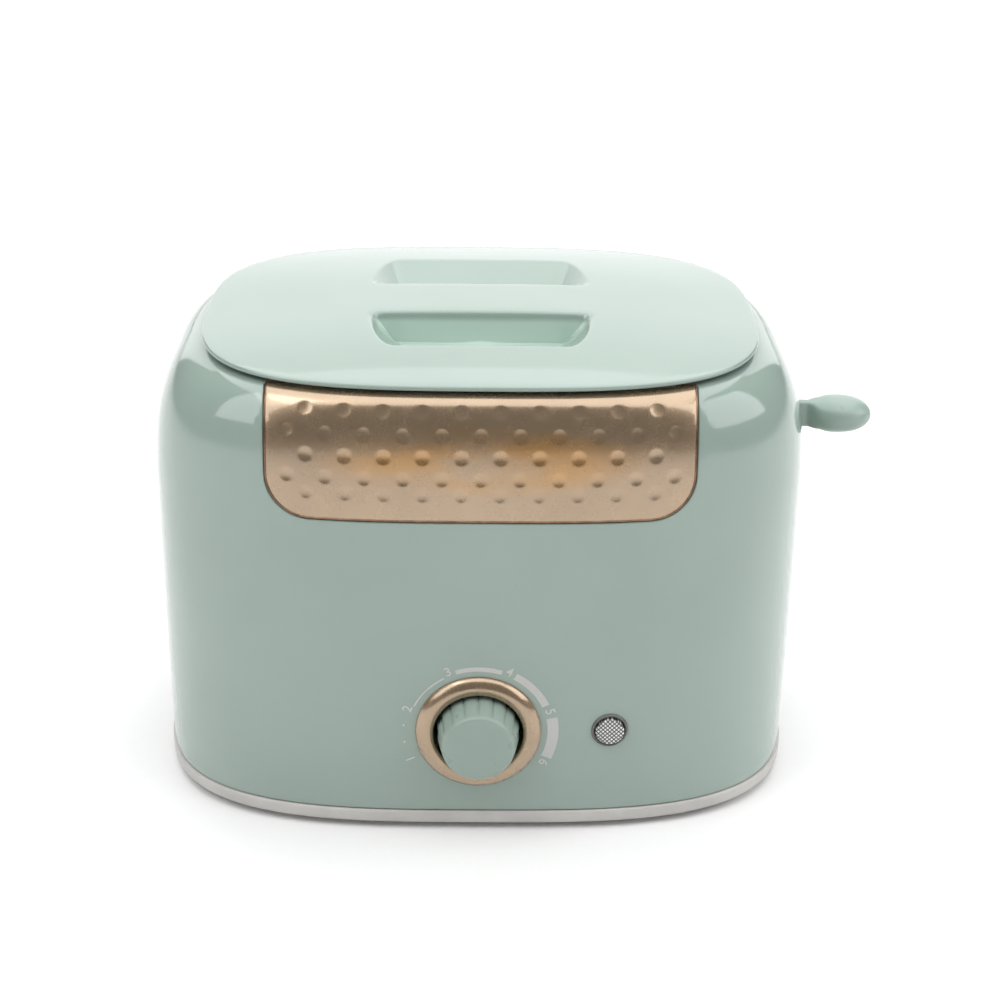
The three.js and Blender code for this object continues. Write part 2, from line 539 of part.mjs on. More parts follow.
// ---------------------------------------------------------------- electrical parts
function addElectrics() {
  const { left, right, halfDepth, top: boardTop, thick } = MAIN;
  piece("main_board", box([left, -halfDepth, boardTop - thick], [right, halfDepth, boardTop]), BOARD);
  piece("magnet_core", bar("z", MAGNET.core, boardTop + GAP, MAGNET.top, MAGNET.x, 0), STEEL);
  const coil = tube("z", MAGNET.coil, MAGNET.core + GAP, boardTop + GAP, MAGNET.coilTop, MAGNET.x, 0, 24);
  piece("magnet_coil", coil, COPPER);
  piece("power_switch", box([82, -8, boardTop + GAP], [89, 8, 30]), BLACK_PLASTIC);
  const wall = surfaceAt(GLAND.x, GLAND.z);
  const flange = tube("y", GLAND.flange, GLAND.bore, wall - 6, wall + 2.6, GLAND.x, GLAND.z, 16);
  const sleeve = tube("y", GLAND.sleeve, GLAND.bore, wall - 8, wall + 2, GLAND.x, GLAND.z, 16);
  piece("cord_gland", joined(carve(flange, { cut: [bodyForm(-GAP)] }), sleeve), RUBBER);
}

// ---------------------------------------------------------------- crumb tray
function crumbTray() {
  const { halfWidth, front, back, bottom, high, sheet } = TRAY;
  return carve(box([-halfWidth, front, bottom], [halfWidth, back, bottom + high]), {
    cut: [box([-halfWidth + sheet, front + sheet, bottom + sheet], [halfWidth - sheet, back - sheet, 30])],
  });
}

/** The tray's end piece: it closes the opening in the rear wall and carries a small pull. */
function trayHandle() {
  const { halfWidth, back, bottom } = TRAY;
  const block = box([-halfWidth, back + GAP, bottom], [halfWidth, 90, bottom + 7.6]);
  const front = carve(block, { within: [bodyForm()] });
  return joined(front, box([-15, back + 2, bottom + 2.6], [15, BODY.halfDepth, bottom + 4.6]));
}

// ---------------------------------------------------------------- assembly
piece("housing", housing(), MINT);
piece("base", base(), GREY_PLASTIC);
piece("decor_panel", panelLayer(0, PANEL.thick, 0), CHAMPAGNE);
piece("dust_cover", dustCover(), MINT);
piece("slot_deck", slotDeck(), STEEL);
addFrontControls();
addHeatingChamber();
addCarriage();
addElectrics();
piece("crumb_tray", crumbTray(), STEEL);
piece("tray_handle", trayHandle(), GREY_PLASTIC);
for (const which of FOUR_CORNERS) {
  const [depth, side] = which;
  piece(`foot_${depth}_${side}`, foot(), RUBBER, [...corner(which, FOOT), 0]);
  const head = bar("z", SCREW.head, 3.2, SCREW.headTop);
  piece(`base_screw_${depth}_${side}`, joined(head, bar("z", SCREW.shank, 4, SCREW.tip)), ZINC,
    [...corner(which, SCREW), 0]);
}

export default toaster;
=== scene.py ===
"""A two-slice toaster with a lift-off dust cover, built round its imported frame.

Lengths inside the shape functions are millimetres from the body's own centre line and the underside of its
base. add_piece() turns them into metres in the frame.
"""

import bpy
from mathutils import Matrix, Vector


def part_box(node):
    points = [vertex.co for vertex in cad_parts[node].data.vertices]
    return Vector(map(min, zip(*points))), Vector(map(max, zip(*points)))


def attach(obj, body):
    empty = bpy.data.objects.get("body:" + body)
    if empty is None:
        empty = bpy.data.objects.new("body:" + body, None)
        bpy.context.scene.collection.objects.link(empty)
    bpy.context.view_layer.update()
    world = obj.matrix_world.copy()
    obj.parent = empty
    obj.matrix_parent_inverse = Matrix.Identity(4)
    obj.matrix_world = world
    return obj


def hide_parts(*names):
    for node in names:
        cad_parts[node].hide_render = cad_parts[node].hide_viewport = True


bl_info = {
    "name": "Two-slice toaster",
    "version": (1, 0, 0),
    "blender": (4, 5, 0),
    "location": "View3D > Sidebar > Toaster",
    "description": "Builds a two-slice toaster with a dust cover round its packed frame",
    "category": "Add Mesh",
}

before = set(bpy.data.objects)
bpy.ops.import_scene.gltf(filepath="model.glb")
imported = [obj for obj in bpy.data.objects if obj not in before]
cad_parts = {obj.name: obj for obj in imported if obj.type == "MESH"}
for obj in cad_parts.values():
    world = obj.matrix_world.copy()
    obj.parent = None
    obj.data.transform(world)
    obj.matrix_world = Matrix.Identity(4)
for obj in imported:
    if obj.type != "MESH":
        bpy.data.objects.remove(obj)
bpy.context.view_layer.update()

from math import atan2, cos, hypot, pi, radians, sin

import bmesh
import bpy
import numpy as np
from bpy.props import FloatProperty, FloatVectorProperty, IntProperty, PointerProperty
from mathutils import Matrix, Vector
from mathutils.geometry import delaunay_2d_cdt

MM = 0.001
COVER_LOW, COVER_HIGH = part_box("dust_cover")
ORIGIN = Vector(((COVER_LOW.x + COVER_HIGH.x) / 2, (COVER_LOW.y + COVER_HIGH.y) / 2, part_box("base")[0].z))

# Places and sizes of the pieces, in millimetres, and their turns in degrees.
PAINTED_REFLECTION_HEIGHT, PAINTED_REFLECTION_HALF_WIDTH, PAINTED_REFLECTION_HALF_HEIGHT = 146, 50, 11      # the painted amber reflection across the front panel's middle
KNOB_HOLE, BUTTON_HOLE, GLAND_HOLE = 17.6, 6.3, 5.0                  # radii of the housing's round holes
NOTCH_GAP, NOTCH_TOP, NOTCH_CORNER = 1.4, 14.5, 2.0                  # the opening for the crumb tray
SLOT_HALF, SLOT_LOW, SLOT_HIGH = 3.1, 46, 136                        # the lever's slot
SCREW_WELLS = [(x, y) for x in (-96, 96) for y in (-40, 40)]         # the base's four screw wells
DIMPLE_ROWS = ((38.4, 10), (31.1, 11), (23.4, 10), (15.7, 11), (10.0, 10))   # height over the edge, count
DIMPLE_PITCH = 13.25
COVER_EDGE, COVER_WALL, COVER_RING_NARROWER = 170.0, 2.0, 3.0        # the cover's rim, skin and standing ring
POCKET_FLOOR, POCKET_WALL = 163.8, 1.9
POINTER_TURN, POINTER_RADIUS = -41, 9.6                              # the browning knob's mark at rest
SCALE_RADIUS, DIGIT_RADIUS, INK_PROUD = 25, 27, 0.035                # the printed browning scale
DIGIT_TURNS = (206, 160, 114, 66, 18, -29)
BANDS = ((156, 119.5, 0.6), (108.5, 71.5, 1.8), (60.5, 24, 2.8), (12, -24, 4.0))     # from, to, width


def local_box(node):
    """A CAD node's lowest and highest corners in millimetres, from the body's centre line."""
    return tuple(np.array((corner - ORIGIN) / MM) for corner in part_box(node))


def centre_of(node):
    low, high = local_box(node)
    return (low + high) / 2


# ------------------------------------------------------------------------------------------ sizes and colours
class ToasterSizes(bpy.types.PropertyGroup):
    wall: FloatProperty(name="Housing wall", description="Thickness of the moulded housing",
                        default=0.003, unit="LENGTH")
    roundness: FloatProperty(name="Plan roundness", description="2 is an ellipse, larger is squarer",
                             default=3.2, min=2, max=8)
    shoulder_start: FloatProperty(name="Shoulder height", description="Where the sides begin to turn in",
                                  default=0.1055, unit="LENGTH")
    shoulder_wide: FloatProperty(name="Shoulder inset, sides",
                                 description="How far the sides turn in at the top",
                                 default=0.024, unit="LENGTH")
    shoulder_deep: FloatProperty(name="Shoulder inset, front",
                                 description="How far the front turns in at the top",
                                 default=0.011, unit="LENGTH")
    shoulder_rise: FloatProperty(name="Shoulder rise",
                                 description="Larger keeps the sides upright for longer",
                                 default=3.4, min=1, max=8)
    shoulder_roll: FloatProperty(name="Shoulder roll",
                                 description="Larger makes the shoulder squarer at its top",
                                 default=2.0, min=1, max=8)
    draft: FloatProperty(name="Draft", description="How far the walls lean in towards the foot",
                         default=0.0006, unit="LENGTH")
    panel_half: FloatProperty(name="Panel half width", description="Half the width of the metallised panel",
                              default=0.074, unit="LENGTH")
    panel_low: FloatProperty(name="Panel low edge", description="Height of the panel's lower edge",
                             default=0.1238, unit="LENGTH")
    panel_corner: FloatProperty(name="Panel corner", description="Radius of the panel's lower corners",
                                default=0.015, unit="LENGTH")
    panel_back: FloatProperty(name="Panel back edge",
                              description="How far in front of the centre the panel ends",
                              default=0.062, unit="LENGTH")
    dimple_radius: FloatProperty(name="Dimple radius", description="Radius of one dimple of the panel",
                                 default=0.0026, unit="LENGTH")
    dimple_depth: FloatProperty(name="Dimple depth", description="Depth of one dimple of the panel",
                                default=0.0003, unit="LENGTH")
    cover_roundness: FloatProperty(name="Cover roundness", description="2 is an ellipse, larger is squarer",
                                   default=3.1, min=2, max=8)
    flutes: IntProperty(name="Knob flutes", description="Hollows round the edge of the browning knob",
                        default=16, min=8, max=40)
    heater_turns: IntProperty(name="Heater turns", description="Turns of resistance tape on each mica board",
                              default=13, min=4, max=30)


class ToasterColours(bpy.types.PropertyGroup):
    mint: FloatVectorProperty(name="Mint", description="Moulded body colour", subtype="COLOR", size=3,
                              default=(0.292, 0.376, 0.332), min=0, max=1)
    champagne: FloatVectorProperty(name="Champagne",
                                   description="Metallised front panel", subtype="COLOR", size=3,
                                   default=(0.41, 0.295, 0.19), min=0, max=1)
    grey: FloatVectorProperty(name="Base grey", description="Satin base tray", subtype="COLOR", size=3,
                              default=(0.55, 0.535, 0.515), min=0, max=1)
    print_ink: FloatVectorProperty(name="Printed scale",
                                   description="Ink of the browning scale", subtype="COLOR",
                                   size=3, default=(0.56, 0.56, 0.545), min=0, max=1)


# -------------------------------------------------------------------------------------------------- materials
class Value:
    """A number that a shader works out, so that shader maths reads as ordinary arithmetic."""

    def __init__(self, material, socket):
        self.material = material
        self.socket = socket

    def math(self, operation, *values):
        values = values or (self,)
        node = self.material.node("Math", {"operation": operation}, **{str(i): v for i, v in enumerate(values)})
        return Value(self.material, node.outputs[0])

    def __add__(self, other):
        return self.math("ADD", self, other)

    def __sub__(self, other):
        return self.math("SUBTRACT", self, other)

    def __rsub__(self, other):
        return self.math("SUBTRACT", other, self)

    def __mul__(self, other):
        return self.math("MULTIPLY", self, other)

    def over(self, limit):
        return self.math("GREATER_THAN", self, limit)

    def between(self, low, high):
        """0 below low, 1 above high, and a smooth step from one to the other."""
        node = self.material.node("MapRange", {"interpolation_type": "SMOOTHSTEP"},
                                  **{"Value": self, "From Min": low, "From Max": high})
        return Value(self.material, node.outputs["Result"])

    __radd__ = __add__
    __rmul__ = __mul__


class Finish:
    """A material that is put together node by node."""

    def __init__(self, name):
        self.data = bpy.data.materials.new(name)
        self.data.use_nodes = True
        self.tree = self.data.node_tree
        self.tree.nodes.clear()
        self.place = self.node("TexCoord", {}).outputs["Object"]

    def node(self, kind, settings, **sockets):
        """One shader node: its settings first, then the value or link of each socket, by name or number."""
        node = self.tree.nodes.new("ShaderNode" + kind)
        stops = settings.pop("stops", None)
        for key, value in settings.items():
            setattr(node, key, value)
        if stops:
            ramp = node.color_ramp
            while len(ramp.elements) < len(stops):
                ramp.elements.new(1)
            for element, (at, colour) in zip(ramp.elements, stops):
                element.position = at
                element.color = (*colour, 1)
        for key, value in sockets.items():
            socket = node.inputs[int(key)] if key.isdigit() else node.inputs[key]
            if isinstance(value, Value):
                value = value.socket
            if isinstance(value, bpy.types.NodeSocket):
                self.tree.links.new(value, socket)
            elif isinstance(socket.default_value, float):
                socket.default_value = float(value)
            else:
                socket.default_value = (*value, 1) if len(socket.default_value) == 4 else value
        return node

    def noise(self, size, detail=2.0, roughness=0.5, stretch=(1, 1, 1)):
        """Soft noise whose blobs are about "size" millimetres across."""
        mapped = self.node("Mapping", {}, Vector=self.place, Scale=stretch)
        made = self.node("TexNoise", {}, Vector=mapped.outputs[0], Scale=1 / (size * MM), Detail=detail,
                         Roughness=roughness)
        return Value(self, made.outputs[0])

    def cells(self, size, randomness=1.0):
        """How far each point is from the middle of its cell, in cells about "size" millimetres across."""
        made = self.node("TexVoronoi", {}, Vector=self.place, Scale=1 / (size * MM), Randomness=randomness)
        return Value(self, made.outputs["Distance"])

    def cell_lot(self, size, channel):
        """A number drawn for each cell of the same pattern, from one channel of its colour."""
        made = self.node("TexVoronoi", {}, Vector=self.place, Scale=1 / (size * MM))
        drawn = self.node("SeparateColor", {}, Color=made.outputs["Color"])
        return Value(self, drawn.outputs[channel])

    def position(self):
        """X, Y and Z of the point, in metres."""
        split = self.node("SeparateXYZ", {}, Vector=self.place)
        return [Value(self, socket) for socket in split.outputs]

    def mix(self, factor, first, second):
        node = self.node("Mix", {"data_type": "RGBA"}, Factor=factor)
        for name, value in (("A", first), ("B", second)):
            socket = next(s for s in node.inputs if s.name == name and s.type == "RGBA")
            if isinstance(value, bpy.types.NodeSocket):
                self.tree.links.new(value, socket)
            else:
                socket.default_value = (*value, 1)
        return next(s for s in node.outputs if s.type == "RGBA")

    def bump(self, height, distance, under=None):
        """Relief of "distance" millimetres between height 0 and height 1."""
        extra = {"Normal": under} if under else {}
        return self.node("Bump", {}, Height=height, Distance=distance * MM, Strength=1.0, **extra).outputs[0]

    def surface(self, **sockets):
        named = {key.replace("_", " "): value for key, value in sockets.items()}
        shader = self.node("BsdfPrincipled", {}, **named)
        self.node("OutputMaterial", {}, Surface=shader.outputs[0])
        return self.data


def shade(colour, factor):
    return tuple(min(1.0, c * factor) for c in colour)


def gloss_mint(colours, name="Glossy mint plastic", specks=True, painted_pocket_light=False):
    """Glossy moulded plastic: faint flow mottling, orange peel, wiped smears and a few stray specks.

    Where asked, the cover's finger pocket walls under the bridge are painted paler: painted light on those
    walls."""
    m = Finish(name)
    mint = tuple(colours.mint)
    drift = m.noise(55, 2).between(0.3, 0.7)
    base = m.mix(drift, shade(mint, 0.975), shade(mint, 1.02))
    if specks:
        spot = (1 - m.cells(13).between(0.012, 0.03)) * m.cell_lot(13, 0).over(0.86)
        base = m.mix(spot * 0.55, base, (0.35, 0.26, 0.15))
    # painted light: the finger pocket walls under the bridge are painted 1.55 times paler than the mint
    if painted_pocket_light:
        x, y, height = (place - middle for place, middle in zip(m.position(), ORIGIN))
        thin_ink_and_pocket_light = x.math("ABSOLUTE").between(43 * MM, 41 * MM) * y.math("ABSOLUTE").between(27 * MM, 20 * MM)
        thin_ink_and_pocket_light = thin_ink_and_pocket_light * height.between(173.4 * MM, 171 * MM)
        base = m.mix(thin_ink_and_pocket_light, base, shade(mint, 1.55))
    smear = m.noise(28, 4, 0.6, (1, 1, 0.35)).between(0.45, 0.75)
    rough = 0.1 + smear * 0.07 + m.noise(0.9, 1) * 0.02
    peel = m.noise(2.6, 1)
    return m.surface(Base_Color=base, Roughness=rough, Normal=m.bump(peel, 0.003), IOR=1.55,
                     Coat_Weight=0.5, Coat_Roughness=0.04)


def satin_mint(colours):
    """The same plastic, a little duller, for the knob and the lever that fingers touch."""
    m = Finish("Satin mint plastic")
    mint = tuple(colours.mint)
    base = m.mix(m.noise(12, 2).between(0.3, 0.7), shade(mint, 1.0), shade(mint, 1.03))
    rough = 0.27 + m.noise(14, 2).between(0.2, 0.8) * 0.02
    return m.surface(Base_Color=base, Roughness=rough, Normal=m.bump(m.noise(1.1, 2), 0.004), IOR=1.5)


def champagne_metal(colours):
    """Metallised plastic under clear lacquer: fine flake, faint clouds and a painted amber reflection across
    its middle.
    """
    m = Finish("Champagne metallised plastic")
    gold = tuple(colours.champagne)
    cloud = m.noise(22, 3).between(0.3, 0.72)
    base = m.mix(cloud, shade(gold, 0.95), shade(gold, 1.05))
    # painted reflection: an amber patch, broken up by noise, in an oval across the panel's middle
    x, _, z = m.position()
    across = (x - ORIGIN.x) * (1 / (PAINTED_REFLECTION_HALF_WIDTH * MM))
    up = (z - ORIGIN.z - PAINTED_REFLECTION_HEIGHT * MM) * (1 / (PAINTED_REFLECTION_HALF_HEIGHT * MM))
    middle = (across * across + up * up).between(1.6, 0.2)
    amber = m.noise(24, 3, 0.5, (0.5, 1, 1.6)).between(0.3, 0.6)
    base = m.mix(amber * middle * 0.75, base, (0.52, 0.27, 0.07))
    flake = m.cells(0.28)
    rough = 0.22 + m.noise(7, 4, 0.6).between(0.35, 0.8) * 0.07 + flake * 0.04
    fine = m.bump(m.noise(0.35, 2), 0.002)
    return m.surface(Base_Color=base, Metallic=0.7, Roughness=rough,
                     Normal=m.bump(m.noise(3.5, 1), 0.004, under=fine),
                     Coat_Weight=0.9, Coat_Roughness=0.05, Coat_IOR=1.6)


def bronze_lacquer():
    """A dark bronze finish, in darker and lighter patches, for the bead along the panel's edge."""
    m = Finish("Bronze lacquer")
    bead_patches = m.noise(4, 3, 0.6).between(0.3, 0.75)
    base = m.mix(bead_patches, (0.16, 0.085, 0.05), (0.30, 0.17, 0.10))
    return m.surface(Base_Color=base, Metallic=0.8, Roughness=0.28 + bead_patches * 0.12,
                     Normal=m.bump(m.noise(0.5, 2), 0.006), Coat_Weight=0.3, Coat_Roughness=0.15)


def moulded_plastic(name, colour, roughness, grain=0.45):
    """Satin plastic with a fine spark-eroded grain."""
    m = Finish(name)
    base = m.mix(m.noise(16, 3).between(0.3, 0.7), shade(colour, 0.93), shade(colour, 1.05))
    rough = roughness + m.noise(6, 3).between(0.35, 0.8) * 0.1
    return m.surface(Base_Color=base, Roughness=rough, Normal=m.bump(m.noise(grain, 2), 0.012))


def sheet_steel(name, colour, roughness, along=(1, 1, 0.04), lines=0.35):
    """Rolled sheet: long fine scratches along the roll, cloudy stains and dull patches."""
    m = Finish(name)
    rolled = m.noise(lines, 3, 0.6, along)
    stain = m.noise(18, 4, 0.6).between(0.4, 0.75)
    base = m.mix(stain * 0.6, colour, shade(colour, 0.82))
    rough = roughness + rolled * 0.16 + stain * 0.08
    return m.surface(Base_Color=base, Metallic=1.0, Roughness=rough, Normal=m.bump(rolled, 0.006))


def zinc_plate():
    """Zinc plating: small frosty spangles with a yellowish tint."""
    m = Finish("Zinc-plated steel")
    spangle = m.cell_lot(3.5, 1)
    base = m.mix(spangle, (0.52, 0.53, 0.52), (0.66, 0.66, 0.62))
    return m.surface(Base_Color=base, Metallic=1.0, Roughness=0.3 + spangle * 0.14,
                     Normal=m.bump(m.noise(0.6, 2), 0.006))


def mica_board():
    """Pressed mica: overlapping flakes, amber blotches and a dull sparkle."""
    m = Finish("Mica board")
    flake = m.cells(5.5)
    tint = m.noise(9, 4, 0.65).between(0.3, 0.75)
    base = m.mix(tint, (0.50, 0.38, 0.20), (0.66, 0.55, 0.36))
    base = m.mix(flake.between(0.5, 0.9) * 0.4, base, (0.38, 0.27, 0.13))
    return m.surface(Base_Color=base, Roughness=0.35 + flake * 0.2, Normal=m.bump(flake, 0.05))


def resistance_tape():
    m = Finish("Resistance tape")
    heat = m.noise(14, 3).between(0.3, 0.75)
    base = m.mix(heat, (0.20, 0.18, 0.17), (0.33, 0.29, 0.27))
    return m.surface(Base_Color=base, Metallic=0.9, Roughness=0.42 + m.noise(0.8, 2) * 0.12,
                     Normal=m.bump(m.noise(0.5, 2), 0.004))


def soft_rubber():
    m = Finish("Soft rubber")
    worn = m.noise(3, 4, 0.65).between(0.4, 0.8)
    base = m.mix(worn, (0.035, 0.036, 0.036), (0.075, 0.075, 0.074))
    return m.surface(Base_Color=base, Roughness=0.72 + worn * 0.15, Normal=m.bump(m.noise(0.7, 3), 0.03))


def circuit_board():
    """Solder mask over copper tracks on a 2.54 mm pitch."""
    m = Finish("Circuit board")
    track = m.cells(2.54, 0.15).between(0.36, 0.42)
    base = m.mix(track, (0.045, 0.20, 0.085), (0.03, 0.13, 0.06))
    return m.surface(Base_Color=base, Roughness=0.35 + m.noise(1.4, 2) * 0.1, Normal=m.bump(track, 0.03))


def copper_winding():
    m = Finish("Copper winding")
    turns = m.node("TexWave", {"wave_type": "BANDS", "bands_direction": "Z"}, Vector=m.place,
                   Scale=1 / (1.3 * MM))
    painted_turn_shade = Value(m, turns.outputs["Fac"])
    # painted shade and highlight: each turn is painted dark in the groove between wires and bright on its crown
    base = m.mix(painted_turn_shade, (0.32, 0.12, 0.05), (0.68, 0.33, 0.16))
    return m.surface(Base_Color=base, Metallic=0.8, Roughness=0.32 + m.noise(2, 2) * 0.1,
                     Normal=m.bump(painted_turn_shade, 0.12))


def turned_brass():
    m = Finish("Turned brass")
    ring = m.noise(0.4, 2, 0.5, (0.05, 1, 0.05))
    return m.surface(Base_Color=m.mix(ring, (0.55, 0.38, 0.14), (0.72, 0.54, 0.24)), Metallic=1.0,
                     Roughness=0.25 + ring * 0.15, Normal=m.bump(ring, 0.01))


def prism_lens():
    """The stop button's clear face: rows of small prisms, with a painted highlight at each tip and dark
    between.
    """
    m = Finish("Prismatic lens")
    x, _, z = m.position()
    prism = 0.81
    turn = pi / (prism * 2 * MM)
    facets = ((x + z) * turn).math("SINE") * ((x - z) * turn).math("SINE")
    # painted highlight: each prism tip is painted bright on a dark ground, brighter or duller by noise
    tip_highlight = (facets * facets).between(0.12, 0.42)
    spark = m.noise(2.2, 2).between(0.3, 0.7)
    base = m.mix(tip_highlight, (0.10, 0.10, 0.09), m.mix(spark, (0.62, 0.63, 0.62), (0.85, 0.85, 0.84)))
    return m.surface(Base_Color=base, Metallic=0.3, Roughness=0.16 + spark * 0.08, Coat_Weight=0.5,
                     Coat_Roughness=0.05, Normal=m.bump(tip_highlight, 0.05))


def printed_ink(colours):
    m = Finish("Printed ink")
    ink = tuple(colours.print_ink)
    thin_ink_and_pocket_light = m.noise(0.5, 3).between(0.35, 0.75)
    return m.surface(Base_Color=m.mix(thin_ink_and_pocket_light, shade(ink, 0.93), shade(ink, 1.04)), Roughness=0.32 + thin_ink_and_pocket_light * 0.1)


def studio_paper():
    m = Finish("Studio paper")
    fibre = m.noise(3, 4)
    return m.surface(Base_Color=m.mix(fibre, (0.90, 0.90, 0.90), (0.93, 0.93, 0.93)),
                     Roughness=0.75 + fibre * 0.1)


PALETTE = {}


def build_palette(colours):
    PALETTE.update({
        "mint": gloss_mint(colours),
        "mint_cover": gloss_mint(colours, "Glossy mint cover", specks=False, painted_pocket_light=True),
        "mint_satin": satin_mint(colours),
        "champagne": champagne_metal(colours),
        "bronze": bronze_lacquer(),
        "grey": moulded_plastic("Grey satin plastic", tuple(colours.grey), 0.34),
        "black": moulded_plastic("Black moulded plastic", (0.02, 0.021, 0.021), 0.35),
        "sleeve": moulded_plastic("Smoked plastic", (0.13, 0.135, 0.13), 0.2),
        "steel": sheet_steel("Bright sheet steel", (0.66, 0.67, 0.68), 0.2),
        "wire": sheet_steel("Drawn wire", (0.60, 0.60, 0.60), 0.25, (1, 1, 1), 0.8),
        "zinc": zinc_plate(),
        "mica": mica_board(),
        "tape": resistance_tape(),
        "rubber": soft_rubber(),
        "board": circuit_board(),
        "copper": copper_winding(),
        "brass": turned_brass(),
        "lens": prism_lens(),
        "ink": printed_ink(colours),
        "paper": studio_paper(),
    })


# ------------------------------------------------------------------------------------------------- mesh tools
def add_piece(name, points, faces, material, body, replaces=(), sharp=35):
    """Makes one piece from points in millimetres, smooth where its faces meet at under "sharp" degrees."""
    mesh = bpy.data.meshes.new(name)
    placed = np.asarray(points, float) * MM + np.array(ORIGIN)
    mesh.from_pydata(placed.tolist(), [], [list(f) for f in faces])
    tidy = bmesh.new()
    tidy.from_mesh(mesh)
    bmesh.ops.remove_doubles(tidy, verts=tidy.verts, dist=1e-6)
    bmesh.ops.dissolve_degenerate(tidy, edges=tidy.edges, dist=1e-7)
    bmesh.ops.recalc_face_normals(tidy, faces=tidy.faces)
    tidy.to_mesh(mesh)
    tidy.free()
    mesh.materials.append(PALETTE[material])
    mesh.shade_smooth()
    mesh.set_sharp_from_angle(angle=radians(sharp))
    piece = bpy.data.objects.new(name, mesh)
    bpy.context.scene.collection.objects.link(piece)
    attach(piece, body)
    if replaces:
        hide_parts(*replaces)
    return piece


class Shape:
    """Points and faces that are gathered before they become one piece."""

    def __init__(self):
        self.points = []
        self.faces = []

    def add(self, points, faces):
        start = len(self.points)
        self.points.extend([tuple(p) for p in points])
        self.faces.extend([tuple(start + i for i in f) for f in faces])
        return start

    def grid(self, rows, closed=True, caps=(False, False)):
        """A skin over rows of points, each row closed into a ring unless told otherwise."""
        rows = [list(row) for row in rows]
        n = len(rows[0])
        start = self.add([p for row in rows for p in row], [])
        reach = n if closed else n - 1
        for r in range(len(rows) - 1):
            for i in range(reach):
                a, b = start + r * n + i, start + r * n + (i + 1) % n
                self.faces.append((a, b, b + n, a + n))
        if caps[0]:
            self.faces.append(tuple(start + i for i in range(n)))
        if caps[1]:
            last = start + (len(rows) - 1) * n
            self.faces.append(tuple(last + i for i in reversed(range(n))))
        return self

    def turned(self, profile, about="z", at=(0, 0, 0), segments=64):
        """A profile of (radius, distance) points turned about an axis, closed where its ends meet the axis."""
        rows = []
        for radius, along in profile:
            ring = []
            for i in range(segments):
                turn = 2 * pi * i / segments
                a, b = max(radius, 1e-4) * cos(turn), max(radius, 1e-4) * sin(turn)
                offset = {"z": (a, b, along), "y": (a, along, b), "x": (along, a, b)}[about]
                ring.append(tuple(o + c for o, c in zip(offset, at)))
            rows.append(ring)
        return self.grid(rows)

    def rounded_box(self, low, high, radius, steps=2):
        """A box with every edge rounded."""
        low, high = np.array(low, float), np.array(high, float)
        cube = bmesh.new()
        bmesh.ops.create_cube(cube, size=1)
        for v in cube.verts:
            v.co = Vector((low + high) / 2 + np.array(v.co) * (high - low))
        bmesh.ops.bevel(cube, geom=cube.edges, offset=radius, segments=steps, profile=0.5, affect="EDGES")
        cube.verts.index_update()
        self.add([v.co[:] for v in cube.verts], [[v.index for v in f.verts] for f in cube.faces])
        cube.free()
        return self

    def wire(self, path, radius, sides=10, closed=False):
        """A round wire along a path."""
        path = [Vector(p) for p in path]
        n = len(path)
        rows = []
        normal = None
        for i, p in enumerate(path):
            before = path[i - 1] if (i or closed) else p
            after = path[(i + 1) % n] if (i < n - 1 or closed) else p
            tangent = (after - before).normalized()
            if normal is None:
                normal = tangent.orthogonal().normalized()
            normal = (normal - tangent * normal.dot(tangent)).normalized()
            side = tangent.cross(normal)
            rows.append([tuple(p + radius * (cos(2 * pi * k / sides) * normal + sin(2 * pi * k / sides) * side))
                         for k in range(sides)])
        if closed:
            rows.append(rows[0])
            return self.grid(rows)
        return self.grid(rows, caps=(True, True))

    def bridge(self, first, second):
        """Joins two loops of point numbers of the same length with faces."""
        n = len(first)
        self.faces.extend((first[i], first[(i + 1) % n], second[(i + 1) % n], second[i]) for i in range(n))

    def piece(self, name, material, body, slot, replaces=(), sharp=35):
        return add_piece(name, self.points, self.faces, material, body, replaces, sharp)


def superellipse(angle, roundness):
    c, s = np.cos(angle), np.sin(angle)
    reach = (np.abs(c) ** roundness + np.abs(s) ** roundness) ** (-1 / roundness)
    return c * reach, s * reach


def squircle_ring(half_width, half_depth, z, roundness, count=160):
    angles = np.linspace(0, 2 * pi, count, endpoint=False)
    x, y = superellipse(angles, roundness)
    return np.stack([x * half_width, y * half_depth, np.full(count, float(z))], 1)


def round_rect_reach(dx, dy, half_x, half_y, r):
    """How far a ray from the middle goes before it meets a rectangle with round corners."""
    dx, dy = np.maximum(np.abs(dx), 1e-9), np.maximum(np.abs(dy), 1e-9)
    flat = np.minimum(half_x / dx, half_y / dy)
    cx, cy = half_x - r, half_y - r
    along = dx * cx + dy * cy
    bend = along + np.sqrt(np.maximum(along ** 2 - cx ** 2 - cy ** 2 + r ** 2, 0))
    in_corner = (flat * dx > cx) & (flat * dy > cy)
    return np.where(in_corner, bend, flat)


def arc(cx, cy, r, start, end, steps):
    """Points on an arc, angles in degrees."""
    turns = [radians(start + (end - start) * i / steps) for i in range(steps + 1)]
    return [(cx + r * cos(t), cy + r * sin(t)) for t in turns]


def even_line(a, b, step):
    """Points from a up to, not including, b."""
    n = max(1, round(hypot(b[0] - a[0], b[1] - a[1]) / step))
    return [(a[0] + (b[0] - a[0]) * i / n, a[1] + (b[1] - a[1]) * i / n) for i in range(n)]


def closed_path(corners, step):
    """Evenly spaced points round a closed outline of (x, y) points."""
    out = []
    for a, b in zip(corners, corners[1:] + corners[:1]):
        if hypot(b[0] - a[0], b[1] - a[1]) > 1e-6:
            out.extend(even_line(a, b, step))
    return out


def round_rect_path(half_x, half_y, r, step, cx=0.0, cy=0.0):
    """A rectangle with round corners, anticlockwise."""
    x, y = half_x - r, half_y - r
    corners = []
    for sx, sy, start in ((1, -1, -90), (1, 1, 0), (-1, 1, 90), (-1, -1, 180)):
        corners += arc(cx + sx * x, cy + sy * y, r, start, start + 90, 6)
    return closed_path(corners, step)


